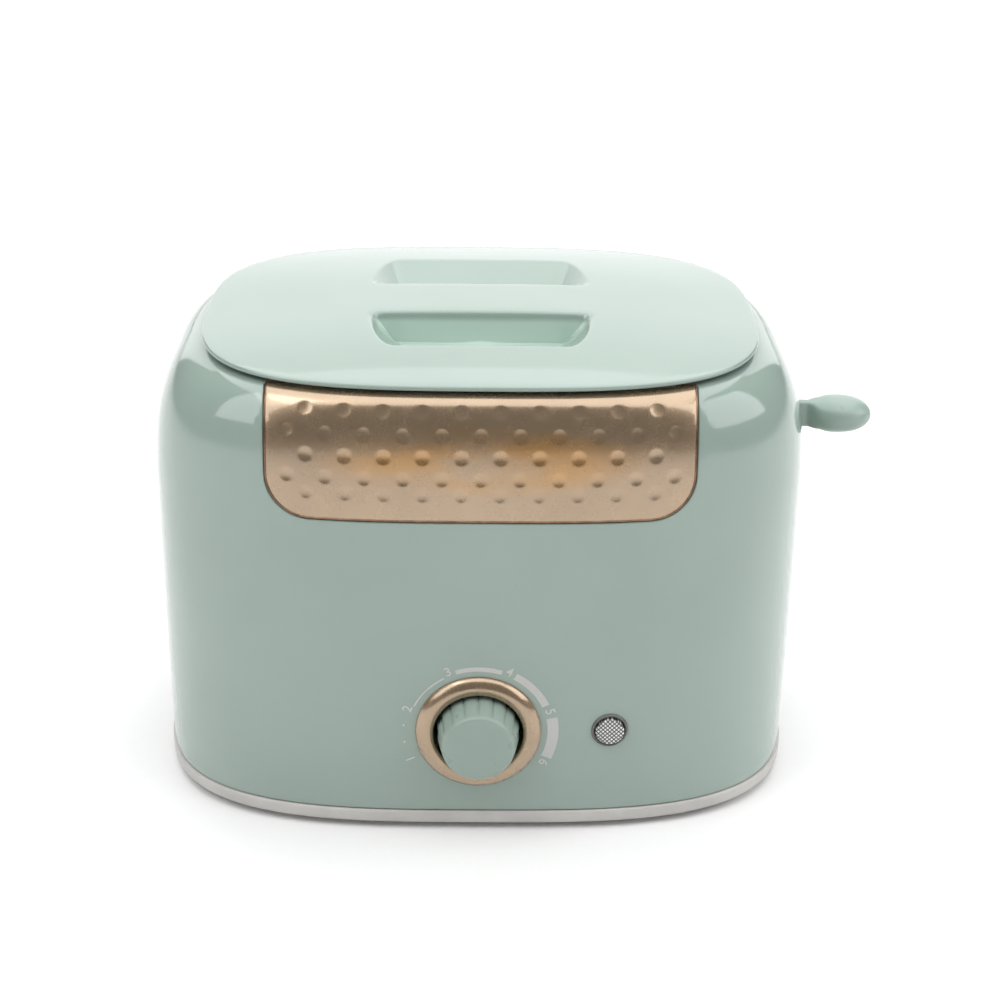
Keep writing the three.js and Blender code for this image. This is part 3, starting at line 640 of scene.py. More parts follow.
class Skin:
    """A surface cut to shape: a net of triangles in a flat (u, v) map, laid on a curved form."""

    def __init__(self, form, edges, step, inside_test, seeds=(), keep_off=0.62):
        """edges are closed loops of (u, v), seeds are points that the net must have, and inside_test says which
        (u, v) points belong to the skin."""
        points, links, self.loops = [], [], []
        for loop in edges:
            first = len(points)
            points.extend(loop)
            n = len(loop)
            links.extend((first + i, first + (i + 1) % n) for i in range(n))
            self.loops.append(range(first, first + n))
        points.extend(seeds)
        fixed = np.array(points)
        low, high = fixed.min(0), fixed.max(0)
        row_step = step * 0.87
        extra = []
        for j, v in enumerate(np.arange(low[1] + row_step / 2, high[1], row_step)):
            u = np.arange(low[0] + step * (0.5 if j % 2 else 1.0), high[0], step)
            extra.append(np.stack([u, np.full(len(u), v)], 1))
        extra = np.concatenate(extra)
        extra = extra[inside_test(extra[:, 0], extra[:, 1])]
        gap = np.full(len(extra), np.inf)
        for part in np.array_split(fixed, max(1, len(fixed) // 200)):
            gap = np.minimum(gap, np.linalg.norm(extra[:, None] - part[None], axis=2).min(1))
        extra = extra[gap > step * keep_off]
        given = [Vector(p) for p in points] + [Vector(p) for p in extra]
        made, _, faces, came_from, _, _ = delaunay_2d_cdt(given, links, [], 0, 1e-5, True)
        number = {}
        for i, sources in enumerate(came_from):
            for source in sources:
                number[source] = i
        self.loops = [[number[i] for i in loop] for loop in self.loops]
        uv = np.array([p[:] for p in made])
        tri = np.array([f for f in faces if len(f) == 3])
        middle = uv[tri].mean(1)
        self.faces = tri[inside_test(middle[:, 0], middle[:, 1])]
        self.at, self.normal = form.lay(uv)

    def sideways(self, loop):
        """Unit vectors along the surface, out of the skin to the left of a loop."""
        p = self.at[loop]
        along = np.roll(p, -1, 0) - np.roll(p, 1, 0)
        out = np.cross(self.normal[loop], along)
        return out / np.linalg.norm(out, axis=1, keepdims=True)

    def rings(self, loop, profile):
        """Rows of points off a loop, each (outward, downward) from the surface."""
        out = self.sideways(loop)
        p, n = self.at[loop], self.normal[loop]
        return [p + out * across - n * down for across, down in profile]


def rounded_edge(radius, depth, steps=4):
    """A quarter-round edge and the wall under it, as (outward, downward) pairs."""
    turns = [pi / 2 * i / steps for i in range(1, steps + 1)]
    return [(radius * sin(t), radius * (1 - cos(t))) for t in turns] + [(radius, depth)]


def add_rings(shape, first, rings):
    """Joins a loop of point numbers to rows of new points and returns the last row's numbers."""
    last = list(first)
    for ring in rings:
        start = shape.add(ring, [])
        new = list(range(start, start + len(last)))
        shape.bridge(last, new)
        last = new
    return last


# -------------------------------------------------------------------------------------------- the body's form
class BodyForm:
    """The housing's outer surface. u runs round the body from the middle of its left side, past the front, and
    v runs up its side, over the shoulder and in across the flat top to the opening for the slot deck."""

    def __init__(self, sizes):
        low, high = local_box("housing")
        deck_low, deck_high = local_box("slot_deck")
        self.n = sizes.roundness
        self.half = -low[:2]
        self.foot, self.top = low[2], high[2]
        self.start = sizes.shoulder_start / MM
        self.inset = np.array([sizes.shoulder_wide, sizes.shoulder_deep]) / MM
        self.draft = sizes.draft / MM
        self.rise, self.roll = sizes.shoulder_rise, sizes.shoulder_roll
        self.opening = (deck_high - deck_low)[:2] / 2 + 0.3
        self.opening_corner = 10.3
        lower = np.linspace(0, 1, 80, endpoint=False)
        upper = 1 - (1 - np.linspace(0, 1, 240)) ** 3
        z = np.concatenate([self.foot + lower * (self.start - self.foot),
                            self.start + upper * (self.top - self.start)])
        rows = np.array([self.row(h) for h in z])
        mean = rows.mean(1)
        lean = np.unwrap(np.arctan2(np.diff(z), np.diff(mean)))
        bend = np.abs(np.diff(lean, prepend=lean[:1]))
        self.v = np.concatenate([[0], np.cumsum(np.hypot(np.diff(mean), np.diff(z)) + 12 * bend)])
        self.z, self.rows = z, rows
        self.edge = self.v[-1]
        self.rim_half = rows[-1]
        self.end = self.edge + float((self.rim_half - self.opening).mean())
        self.angles = np.linspace(-pi, pi, 6001)
        x, y = superellipse(self.angles, self.n)
        walk = np.hypot(np.diff(x * self.half[0]), np.diff(y * self.half[1]))
        self.u = np.concatenate([[0], np.cumsum(walk)])
        self.round = self.u[-1]

    def row(self, z):
        """Half the width and half the depth at a height."""
        share = min(max((z - self.foot) / (self.start - self.foot), 0), 1)
        lean = self.draft * (1 - sin(share * pi / 2))
        k = min(max((z - self.start) / (self.top - self.start), 0), 1)
        drop = 1 - (1 - k ** self.rise) ** (1 / self.roll)
        return self.half - lean - self.inset * drop

    def point(self, u, v):
        u = np.mod(u, self.round)
        angle = np.interp(u, self.u, self.angles)
        x, y = superellipse(angle, self.n)
        side = np.clip(v, self.v[0], self.edge)
        half = [np.interp(side, self.v, self.rows[:, i]) for i in (0, 1)]
        z = np.interp(side, self.v, self.z)
        x, y = x * half[0], y * half[1]
        far = np.hypot(x, y)
        near = round_rect_reach(x / far, y / far, *self.opening, self.opening_corner)
        t = np.clip((v - self.edge) / (self.end - self.edge), 0, 1)
        scale = 1 + t * (near / far - 1)
        return np.stack([x * scale, y * scale, z], -1)

    def lay(self, uv):
        u, v = uv[:, 0], uv[:, 1]
        e = 0.05
        across = self.point(u + e, v) - self.point(u - e, v)
        up = self.point(u, np.minimum(v + e, self.end)) - self.point(u, np.maximum(v - e, 0))
        normal = np.cross(across, up)
        normal /= np.linalg.norm(normal, axis=1, keepdims=True)
        return self.point(u, v), normal

    def stretch(self, u, v):
        """Millimetres on the surface for one unit of u, and for one of v."""
        e = 0.1
        along = np.linalg.norm(self.point(u + e, v) - self.point(u - e, v)) / (2 * e)
        return float(along), float(np.linalg.norm(self.point(u, v + e) - self.point(u, v - e)) / (2 * e))

    def height(self, z):
        return float(np.interp(z, self.z, self.v))

    def on_wall(self, face, across, z):
        """(u, v) of a place on the front, rear or right wall, from its X or Y and its height."""
        v = self.height(z)
        half = self.row(z)
        if face == "right":
            s = across / half[1]
            c = (1 - abs(s) ** self.n) ** (1 / self.n)
        else:
            c = across / half[0]
            s = (1 - abs(c) ** self.n) ** (1 / self.n) * (-1 if face == "front" else 1)
        return float(np.interp(atan2(s, c), self.angles, self.u)), v

    def on_top(self, x, y):
        """(u, v) of a place on the flat top."""
        angle = atan2(y / self.rim_half[1], x / self.rim_half[0])
        rim = np.array(superellipse(angle, self.n)) * self.rim_half
        far, here = np.hypot(*rim), hypot(x, y)
        near = float(round_rect_reach(x / here, y / here, *self.opening, self.opening_corner))
        t = (far - here) / (far - near)
        return float(np.interp(angle, self.angles, self.u)), self.edge + float(t) * (self.end - self.edge)

    def wall_at(self, x, z, face=-1):
        """Y of the front (or rear, with face=1) wall at a place on it."""
        half = self.row(z)
        return face * half[1] * (1 - abs(x / half[0]) ** self.n) ** (1 / self.n)


def panel_outline(form, sizes, shrink, step):
    """The front panel's outline as (u, v), anticlockwise from its lower left, "shrink" inside its recess."""
    w = sizes.panel_half / MM - shrink
    low = sizes.panel_low / MM + shrink
    r = sizes.panel_corner / MM - shrink
    back = -(sizes.panel_back / MM + shrink)
    front = arc(-w + r, low + r, r, 180, 270, 10) + even_line((-w + r, low), (w - r, low), step)[1:]
    front += arc(w - r, low + r, r, 270, 360, 10)
    out = [form.on_wall("front", x, z) for x, z in front]
    corner_v, rim_v = form.height(low + r), form.edge
    climb = max(2, round((rim_v - corner_v) / step))
    side = [corner_v + (rim_v - corner_v) * i / climb for i in range(1, climb)]
    out += [form.on_wall("front", w, float(np.interp(v, form.v, form.z))) for v in side]
    rim_y = form.wall_at(w, form.top - 0.001)
    top_corner = 3.0
    shoulder = [rim_y + (back - rim_y) * i / 5 for i in range(1, 5)]
    shoulder = [y for y in shoulder if y < back - top_corner]
    across_top = [(w, y) for y in shoulder] + arc(w - top_corner, back - top_corner, top_corner, 0, 90, 5)
    across_top += even_line((w - top_corner, back), (-w + top_corner, back), step)[1:]
    across_top += arc(-w + top_corner, back - top_corner, top_corner, 90, 180, 5)
    across_top += [(-w, y) for y in reversed(shoulder)]
    out += [form.on_top(x, y) for x, y in across_top]
    out += [form.on_wall("front", -w, float(np.interp(v, form.v, form.z))) for v in reversed(side)]
    return out


def in_loop(loop):
    """A test for many points at once: which lie inside a closed loop."""
    path = np.array(loop)
    nxt = np.roll(path, -1, 0)

    def test(u, v):
        inside = np.zeros(len(u), bool)
        for (u0, v0), (u1, v1) in zip(path, nxt):
            crosses = (v0 > v) != (v1 > v)
            if abs(v1 - v0) > 1e-12:
                inside ^= crosses & (u < (u1 - u0) * (v - v0) / (v1 - v0) + u0)
        return inside

    return test


def in_sheet(outline, holes):
    """A test for many points at once: which lie inside an outline and in none of its holes."""
    whole, cuts = in_loop(outline), [in_loop(hole) for hole in holes]

    def test(u, v):
        keep = whole(u, v)
        for cut in cuts:
            keep &= ~cut(u, v)
        return keep

    return test


def wall_circle(form, face, x, z, radius, count):
    """A round hole's edge on a wall as (u, v), anticlockwise seen from outside."""
    way = 1 if face == "front" else -1
    turns = [2 * pi * i / count for i in range(count)]
    return [form.on_wall(face, x + way * radius * cos(t), z + radius * sin(t)) for t in turns]


# ----------------------------------------------------------------------------------------------- outer shells
class TOASTER_OT_housing(bpy.types.Operator):
    """Moulded housing with its openings, wall thickness and four screw posts"""
    bl_idname = "toaster.housing"
    bl_label = "Housing"

    def execute(self, context):
        sizes = context.scene.toaster_sizes
        form = BodyForm(sizes)
        step, edge, wall = 2.6, 0.5, sizes.wall / MM
        knob, button, gland = (centre_of(node) for node in ("knob_shaft", "button_sleeve", "cord_gland"))
        panel_gap = 0.3
        holes = [
            panel_outline(form, sizes, -panel_gap - edge, step * 0.7),
            wall_circle(form, "front", knob[0], knob[2], KNOB_HOLE + edge, 80),
            wall_circle(form, "front", button[0], button[2], BUTTON_HOLE + edge, 40),
            wall_circle(form, "rear", gland[0], gland[2], GLAND_HOLE + edge, 32),
            lever_slot(form, edge, step),
        ]
        foot, crown, outer = self.outline(form, edge, step)
        skin = Skin(form, [outer] + holes, step, in_sheet(outer, holes))
        shape = Shape()
        start = shape.add(skin.at, skin.faces)
        within = shape.add(skin.at - skin.normal * wall, skin.faces[:, ::-1])
        open_edges = [skin.loops[0][part][::-1] for part in (foot, crown)]
        for loop in open_edges + skin.loops[1:]:
            last = add_rings(shape, [start + i for i in loop], skin.rings(loop, rounded_edge(edge, wall)))
            shape.bridge(last, [within + i for i in loop])
        post = [(2.05, 27), (2.05, 10), (4.2, 10), (4.2, 60), (1e-4, 60)]
        for side in ("left", "right"):
            for depth in ("front", "rear"):
                screw = centre_of(f"base_screw_{depth}_{side}")
                shape.turned(post, at=(screw[0], screw[1], 0), segments=24)
        shape.piece("Housing", "mint", "toaster_body", "mint_gloss", ["housing"])
        return {"FINISHED"}

    def outline(self, form, edge, step):
        """The whole shell's outline as (u, v), with the notch for the crumb tray in its foot. Its two upright
        parts lie on each other, so the shell closes there. Also where its foot and its crown are in it."""
        notch_x, notch_top = local_box("crumb_tray")[1][0] + NOTCH_GAP + edge, NOTCH_TOP + edge
        bottom = form.height(form.foot) + edge
        left, right = form.on_wall("rear", notch_x, notch_top)[0], form.on_wall("rear", -notch_x, notch_top)[0]
        top, r = form.height(notch_top), NOTCH_CORNER
        foot = even_line((0, bottom), (left - r, bottom), step) + arc(left - r, bottom + r, r, -90, 0, 4)
        foot += even_line((left, bottom + r), (left, top - r), step)[1:] + arc(left + r, top - r, r, 180, 90, 4)
        foot += even_line((left + r, top), (right - r, top), step)[1:] + arc(right - r, top - r, r, 90, 0, 4)
        foot += even_line((right, top - r), (right, bottom + r), step)[1:]
        foot += arc(right + r, bottom + r, r, 180, 270, 4)
        foot += even_line((right + r, bottom), (form.round, bottom), step)[1:]
        crown_v = form.end - edge
        climb = even_line((form.round, bottom), (form.round, crown_v), step)
        crown = even_line((form.round, crown_v), (0, crown_v), step)
        drop = [(0, v) for _, v in reversed(even_line((0, bottom), (0, crown_v), step)[1:])]
        first = len(foot) + len(climb)
        outer = foot + climb + crown + [(0, crown_v)] + drop
        return slice(0, len(foot)), slice(first, first + len(crown)), outer


def lever_slot(form, edge, step):
    """The slot that the lever runs in, as (u, v) on the right wall, anticlockwise."""
    half, bottom, top = SLOT_HALF + edge, SLOT_LOW - edge, SLOT_HIGH + edge
    path = [(half * cos(t), top - half + half * sin(t)) for t in np.linspace(0, pi, 13)]
    path += even_line((-half, top - half), (-half, bottom + half), step)[1:]
    path += [(half * cos(t), bottom + half + half * sin(t)) for t in np.linspace(pi, 2 * pi, 13)]
    path += even_line((half, bottom + half), (half, top - half), step)[1:]
    return [form.on_wall("right", y, z) for y, z in path]


class TOASTER_OT_panel(bpy.types.Operator):
    """Metallised front panel with rows of pressed dimples and a bronze rolled edge"""
    bl_idname = "toaster.panel"
    bl_label = "Front panel"

    def execute(self, context):
        sizes = context.scene.toaster_sizes
        form = BodyForm(sizes)
        edge, thick, step = 0.6, 1.6, 1.5
        outline = panel_outline(form, sizes, edge, step)
        radius, depth = sizes.dimple_radius / MM, sizes.dimple_depth / MM
        centres = []
        low = sizes.panel_low / MM
        for z, count in DIMPLE_ROWS:
            centres += [form.on_wall("front", (i - (count - 1) / 2) * DIMPLE_PITCH, low + z)
                        for i in range(count)]
        seeds = []
        for u, v in centres:
            su, sv = form.stretch(u, v)
            seeds.append((u, v))
            for share, count in ((0.35, 8), (0.62, 12), (0.82, 16), (0.95, 20), (1.08, 22), (1.3, 22)):
                seeds += [(u + share * radius * cos(t) / su, v + share * radius * sin(t) / sv)
                          for t in np.linspace(0, 2 * pi, count, endpoint=False)]
        skin = Skin(form, [outline[::-1]], step, in_loop(outline), seeds)
        spots = form.point(*np.array(centres).T)
        sink = np.zeros(len(skin.at))
        for spot in spots:
            near = np.linalg.norm(skin.at - spot, axis=1) / radius
            s = 1 - near ** 2
            sink = np.maximum(sink, 0.5 * (s + np.sqrt(s * s + 0.012)) * (near < 1.6))
        top = skin.at - skin.normal * (sink * depth)[:, None]
        shape = Shape()
        start = shape.add(top, skin.faces)
        loop = skin.loops[0]
        last = add_rings(shape, [start + i for i in loop], skin.rings(loop, rounded_edge(edge, thick)))
        within = shape.add(skin.at - skin.normal * thick, skin.faces[:, ::-1])
        shape.bridge(last, [within + i for i in loop])
        shape.piece("Front_panel", "champagne", "toaster_body", "champagne", ["decor_panel"])
        self.seam(form, sizes)
        return {"FINISHED"}

    def seam(self, form, sizes):
        """The dark bronze bead round the panel's edge."""
        path = np.array(panel_outline(form, sizes, 0.45, 1.5))
        at, normal = form.lay(path)
        bead = Shape().wire([tuple(p) for p in at - normal * 0.18], 0.42, 8, closed=True)
        bead.piece("Panel_bead", "bronze", "toaster_body", "champagne")


class DomeForm:
    """The cover's top: a shallow dome over a rounded-square plan. u is X and v is Y."""

    def __init__(self, sizes, sink=0.0):
        low, high = local_box("dust_cover")
        self.half = (high - low)[:2] / 2
        self.n = sizes.cover_roundness
        self.edge, self.crown, self.sink = COVER_EDGE, high[2], sink

    def height(self, x, y):
        share = ((np.abs(x) / self.half[0]) ** self.n + (np.abs(y) / self.half[1]) ** self.n) ** (1 / self.n)
        return self.edge + (self.crown - self.edge) * (1 - np.minimum(share, 1) ** 2.6) - self.sink

    def lay(self, uv):
        x, y = uv[:, 0], uv[:, 1]
        e = 0.02
        slope_x = (self.height(x + e, y) - self.height(x - e, y)) / (2 * e)
        slope_y = (self.height(x, y + e) - self.height(x, y - e)) / (2 * e)
        normal = np.stack([-slope_x, -slope_y, np.ones(len(x))], 1)
        return np.stack([x, y, self.height(x, y)], 1), normal / np.linalg.norm(normal, axis=1, keepdims=True)

    def ring(self, inset, count, narrower=0.0):
        """Points round the cover's plan, a little inside its edge."""
        return squircle_ring(self.half[0] - inset - narrower, self.half[1] - inset, 0, self.n, count)[:, :2]


def pocket_paths(side, step):
    """A finger pocket's rim, its floor's edge and how softly the rim is rounded, point by point."""
    near, far, wide, narrow = 15.5, 46.0, 40.0, 30.0
    rim, floor, soft = [], [], []
    count = round(2 * wide / step)
    for i in range(count):
        t = i / count
        rim.append((-wide + 2 * wide * t, near))
        floor.append((-31 + 62 * t, near + 1))
        soft.append(2.0)
    corner = 26
    for i in range(corner):
        t = i / corner
        a = t * pi / 2
        rim.append((narrow + (wide - narrow) * cos(a), near + (far - near) * sin(a)))
        floor.append((31 - 3 * t, near + 1 + 6 * t))
        soft.append(2.0 - 1.3 * min(1, t * 3))
    count = round(2 * narrow / step)
    for i in range(count):
        t = i / count
        rim.append((narrow - 2 * narrow * t, far))
        floor.append((28 - 56 * t, near + 7))
        soft.append(0.7)
    for i in range(corner):
        t = 1 - i / corner
        a = t * pi / 2
        rim.append((-narrow - (wide - narrow) * cos(a), near + (far - near) * sin(a)))
        floor.append((-31 + 3 * t, near + 1 + 6 * t))
        soft.append(2.0 - 1.3 * min(1, t * 3))
    rim, floor, soft = np.array(rim), np.array(floor), np.array(soft)
    for _ in range(3):
        rim = (np.roll(rim, 1, 0) + rim * 2 + np.roll(rim, -1, 0)) / 4
    if side < 0:
        rim, floor = (rim * (1, -1))[::-1], (floor * (1, -1))[::-1]
        soft = soft[::-1]
    return rim, floor, soft


def pocket_rows(form, rim, floor, soft, floor_z):
    """Rows of points from the cover's skin, over the pocket's rounded rim, down to its floor."""
    along = np.roll(rim, -1, 0) - np.roll(rim, 1, 0)
    out = np.stack([along[:, 1], -along[:, 0]], 1)
    out /= np.linalg.norm(out, axis=1, keepdims=True)
    for _ in range(4):
        out = (np.roll(out, 1, 0) + out * 2 + np.roll(out, -1, 0)) / 4
        out /= np.linalg.norm(out, axis=1, keepdims=True)
    start_plan = rim + out * soft[:, None]
    start = np.column_stack([start_plan, form.height(*start_plan.T)])
    lip = np.column_stack([rim, form.height(*rim.T)])
    base = np.column_stack([floor, np.full(len(floor), floor_z)])
    down = base - lip
    length = np.linalg.norm(down, axis=1, keepdims=True)
    down /= length
    turn = np.minimum(soft[:, None] * 1.3, length * 0.45)
    rows = []
    for t in np.linspace(0, 1, 7):
        rows.append(start * (1 - t) ** 2 + lip * (2 * t * (1 - t)) + (lip + down * turn) * t * t)
    lower = base - down * 2.0
    for share in (0.35, 0.7, 1.0):
        rows.append((lip + down * turn) * (1 - share) + lower * share)
    middle = base.mean(0)
    inward = middle - base
    inward /= np.linalg.norm(inward, axis=1, keepdims=True)
    for t in (0.3, 0.6, 1.0):
        rows.append(lower * (1 - t) ** 2 + base * (2 * t * (1 - t)) + (base + inward * 1.2) * t * t)
    return start_plan, rows


class TOASTER_OT_cover(bpy.types.Operator):
    """Lift-off dust cover with a finger pocket on each side of its bridge"""
    bl_idname = "toaster.cover"
    bl_label = "Dust cover"

    def execute(self, context):
        sizes = context.scene.toaster_sizes
        form, under = DomeForm(sizes), DomeForm(sizes, COVER_WALL)
        round_count, roll = 300, 1.0
        made = [pocket_rows(form, *pocket_paths(side, 2.0), POCKET_FLOOR) for side in (-1, 1)]
        holes = [[tuple(p) for p in plan] for plan, _ in made]

        def skin_with(edge_form, inset, step, narrower=0.0):
            rim = [tuple(p) for p in form.ring(inset, round_count, narrower)]
            return Skin(edge_form, [rim] + holes, step, in_sheet(rim, holes))

        shape = Shape()
        skin = skin_with(form, roll, 2.4)
        lower = skin_with(under, 8.0, 4.0, COVER_RING_NARROWER)
        top = shape.add(skin.at, skin.faces)
        bottom = shape.add(lower.at, lower.faces[:, ::-1])
        turns = np.linspace(0, pi, 9)[1:]
        loop = skin.loops[0][::-1]
        rings = skin.rings(loop, [(roll * sin(t), roll * (1 - cos(t))) for t in turns])
        last = add_rings(shape, [top + i for i in loop], rings)
        standing = ((4.5, 168.1), (4.7, 167.25), (5.0, 167.0), (6.5, 167.0), (6.8, 167.25), (7.0, 168.0))
        rows = [np.column_stack([form.ring(inset, round_count, COVER_RING_NARROWER)[::-1],
                                 np.full(round_count, z)]) for inset, z in standing]
        last = add_rings(shape, last, rows)
        shape.bridge(last, [bottom + i for i in lower.loops[0][::-1]])
        for which, (_, rows) in enumerate(made):
            first = [top + i for i in skin.loops[which + 1]]
            last = add_rings(shape, first, rows[1:])
            shape.faces.append(tuple(last))
            cup = self.thicken(rows, POCKET_WALL)
            first = [bottom + i for i in lower.loops[which + 1]]
            last = add_rings(shape, first, cup[1:])
            shape.faces.append(tuple(last))
        locating = []
        for inset, z in ((0, 170.6), (0, 163.6), (0.35, 163.0), (1.25, 163.0), (1.6, 163.6), (1.6, 170.6)):
            locating.append([(x, y, z) for x, y in round_rect_path(84.1 - inset, 51.1 - inset, 8.5 - inset, 4)])
        least = min(len(row) for row in locating)
        shape.grid([resample(row, least) for row in locating])
        shape.piece("Dust_cover", "mint_cover", "dust_cover", "mint_gloss", ["dust_cover"], sharp=38)
        return {"FINISHED"}

    def thicken(self, rows, wall):
        """The pocket's rows again, moved out by the wall's thickness."""
        grid = np.array(rows)
        along = np.roll(grid, -1, 1) - np.roll(grid, 1, 1)
        down = np.gradient(grid, axis=0)
        normal = np.cross(along, down)
        normal /= np.maximum(np.linalg.norm(normal, axis=2, keepdims=True), 1e-9)
        away = normal * np.sign((normal * (grid - grid[-1].mean(0) - (0, 0, 20))).sum(2, keepdims=True))
        moved = grid + away * wall
        moved[:, :, 2] = np.maximum(moved[:, :, 2], grid[:, :, 2].min() - wall)
        return list(moved)


def resample(points, count):
    """The same closed outline with a given number of points."""
    p = np.array(points)
    loop = np.vstack([p, p[:1]])
    walk = np.concatenate([[0], np.cumsum(np.linalg.norm(np.diff(loop, axis=0), axis=1))])
    at = np.linspace(0, walk[-1], count, endpoint=False)
    return [tuple(np.interp(t, walk, loop[:, i]) for i in range(3)) for t in at]


class PlateForm:
    """A flat sheet at one height, facing up or down. u is X and v is Y, or -Y where it faces down."""

    def __init__(self, z, facing=1):
        self.z, self.facing = z, facing

    def lay(self, uv):
        n = len(uv)
        at = np.stack([uv[:, 0], uv[:, 1] * self.facing, np.full(n, float(self.z))], 1)
        return at, np.tile((0.0, 0.0, float(self.facing)), (n, 1))


def plate(shape, z, thick, outline, holes, step, facing=1, edge=0.4):
    """A flat plate with rounded hole edges. Returns its outer edge's point numbers, on show and behind."""
    skin = Skin(PlateForm(z, facing), [outline] + holes, step, in_sheet(outline, holes))
    show = shape.add(skin.at, skin.faces)
    behind = shape.add(skin.at - skin.normal * thick, skin.faces[:, ::-1])
    for loop in skin.loops[1:]:
        last = add_rings(shape, [show + i for i in loop], skin.rings(loop, rounded_edge(edge, thick)))
        shape.bridge(last, [behind + i for i in loop])
    return [show + i for i in skin.loops[0]], [behind + i for i in skin.loops[0]]


class TOASTER_OT_base(bpy.types.Operator):
    """Grey base tray with vents and screw wells, and its rubber feet"""
    bl_idname = "toaster.base"
    bl_label = "Base and feet"

    def execute(self, context):
        sizes = context.scene.toaster_sizes
        half = 0.1 - local_box("base")[0][:2]
        n, count, floor = sizes.roundness, 220, 2.2
        flat = [tuple(p[:2]) for p in squircle_ring(half[0] - 1.6, half[1] - 1.6, 0, n, count)]
        well, round_turns = 4.6, np.linspace(0, 2 * pi, 28, endpoint=False)
        holes = [round_rect_path(2.9, 44.4, 2.6, 3, x, 0) for x in range(-49, 50, 14)]
        holes += [[(x + well * cos(t), y + well * sin(t)) for t in round_turns] for x, y in SCREW_WELLS]
        shape = Shape()
        show, behind = plate(shape, 0, floor, flat, holes, 5, facing=-1)
        rows = []
        for inset, z in ((1.15, 0.14), (0.5, 0.55), (0.12, 1.15), (0, 1.8), (0, 4.9), (0.15, 5.25), (0.5, 5.5),
                         (2.4, 5.5), (2.4, 2.6)):
            rows.append(mirror_y(squircle_ring(half[0] - inset, half[1] - inset, z, n, count)))
        shape.bridge(add_rings(shape, show, rows), behind)
        half = half - 0.7
        lip = [squircle_ring(half[0] - inset, half[1] - inset, z, n, count)
               for inset, z in ((3.3, 2.0), (3.3, 9.6), (3.7, 10.0), (4.9, 10.0), (5.3, 9.6), (5.3, 2.0))]
        gap = tuple(i for i in range(count) if lip[0][i][1] > 60 and abs(lip[0][i][0]) < 60)
        for row in lip:
            for i in gap:
                row[i][2] = min(row[i][2], 5.5)
        shape.grid(lip)
        for x in (-87, 74):
            shape.rounded_box((x - 3, -50, 2), (x + 3, 50, 13.7), 0.5)
        boss = [(4.2, 0.4), (4.2, 6.2), (2.2, 6.2), (2.2, 9.7), (5.6, 9.7), (5.6, 2)]
        for x, y in SCREW_WELLS:
            shape.turned(boss, at=(x, y, 0), segments=28)
        shape.piece("Base", "grey", "toaster_body", "grey_plastic", ["base"])
        for depth in ("front", "rear"):
            for side in ("left", "right"):
                node = f"foot_{depth}_{side}"
                centre = centre_of(node)
                bottom = local_box(node)[0][2]
                profile = [(1e-4, bottom + 0.35), (4.9, bottom + 0.35), (5.2, bottom + 0.1), (5.6, bottom),
                           (7.2, bottom), (7.7, bottom + 0.2), (8.0, bottom + 0.7), (8.0, -0.35), (7.8, -0.3),
                           (2.3, -0.3), (2.3, 2.6), (2.6, 2.8), (2.3, 3.2), (1e-4, 3.2)]
                foot = Shape().turned(profile, at=(centre[0], centre[1], 0), segments=48)
                foot.piece(f"Foot_{depth}_{side}", "rubber", "toaster_body", "rubber", [node])
        return {"FINISHED"}


def mirror_y(ring):
    """A ring of points with Y reversed."""
    return ring * (1, -1, 1)


class TOASTER_OT_deck(bpy.types.Operator):
    """Pressed steel deck with a rolled collar round each bread slot"""
    bl_idname = "toaster.deck"
    bl_label = "Slot deck"

    def execute(self, context):
        low, high = local_box("slot_deck")
        half = (high - low)[:2] / 2
        floor, lift = 160.8, high[2]
        outline = round_rect_path(half[0] - 2.6, half[1] - 2.6, 7.4, 3)
        holes = [[(x - 7 + dx, y + dy) for dx, dy in round_rect_path(73.8, 17.8, 6, 3)]
                 for x, y in ((0, -30), (0, 30))]
        skin = Skin(PlateForm(floor), [outline] + holes, 3.2, in_sheet(outline, holes))
        shape = Shape()
        start = shape.add(skin.at, skin.faces)
        for loop in skin.loops[1:]:
            add_rings(shape, [start + i for i in loop], skin.rings(loop, rounded_edge(0.8, floor - low[2], 5)))
        loop = skin.loops[0][::-1]
        turns = [pi / 2 * i / 5 for i in range(1, 6)]
        wall = [(1.3 * sin(t), -1.3 * (1 - cos(t))) for t in turns]
        rise = floor - lift
        wall += [(1.3, rise + 0.5), (1.45, rise + 0.1), (1.9, rise), (2.4, rise + 0.1), (2.6, rise + 0.5),
                 (2.6, 1.0)]
        add_rings(shape, [start + i for i in loop], skin.rings(loop, wall))
        shape.piece("Slot_deck", "steel", "toaster_body", "steel", ["slot_deck"])
        return {"FINISHED"}


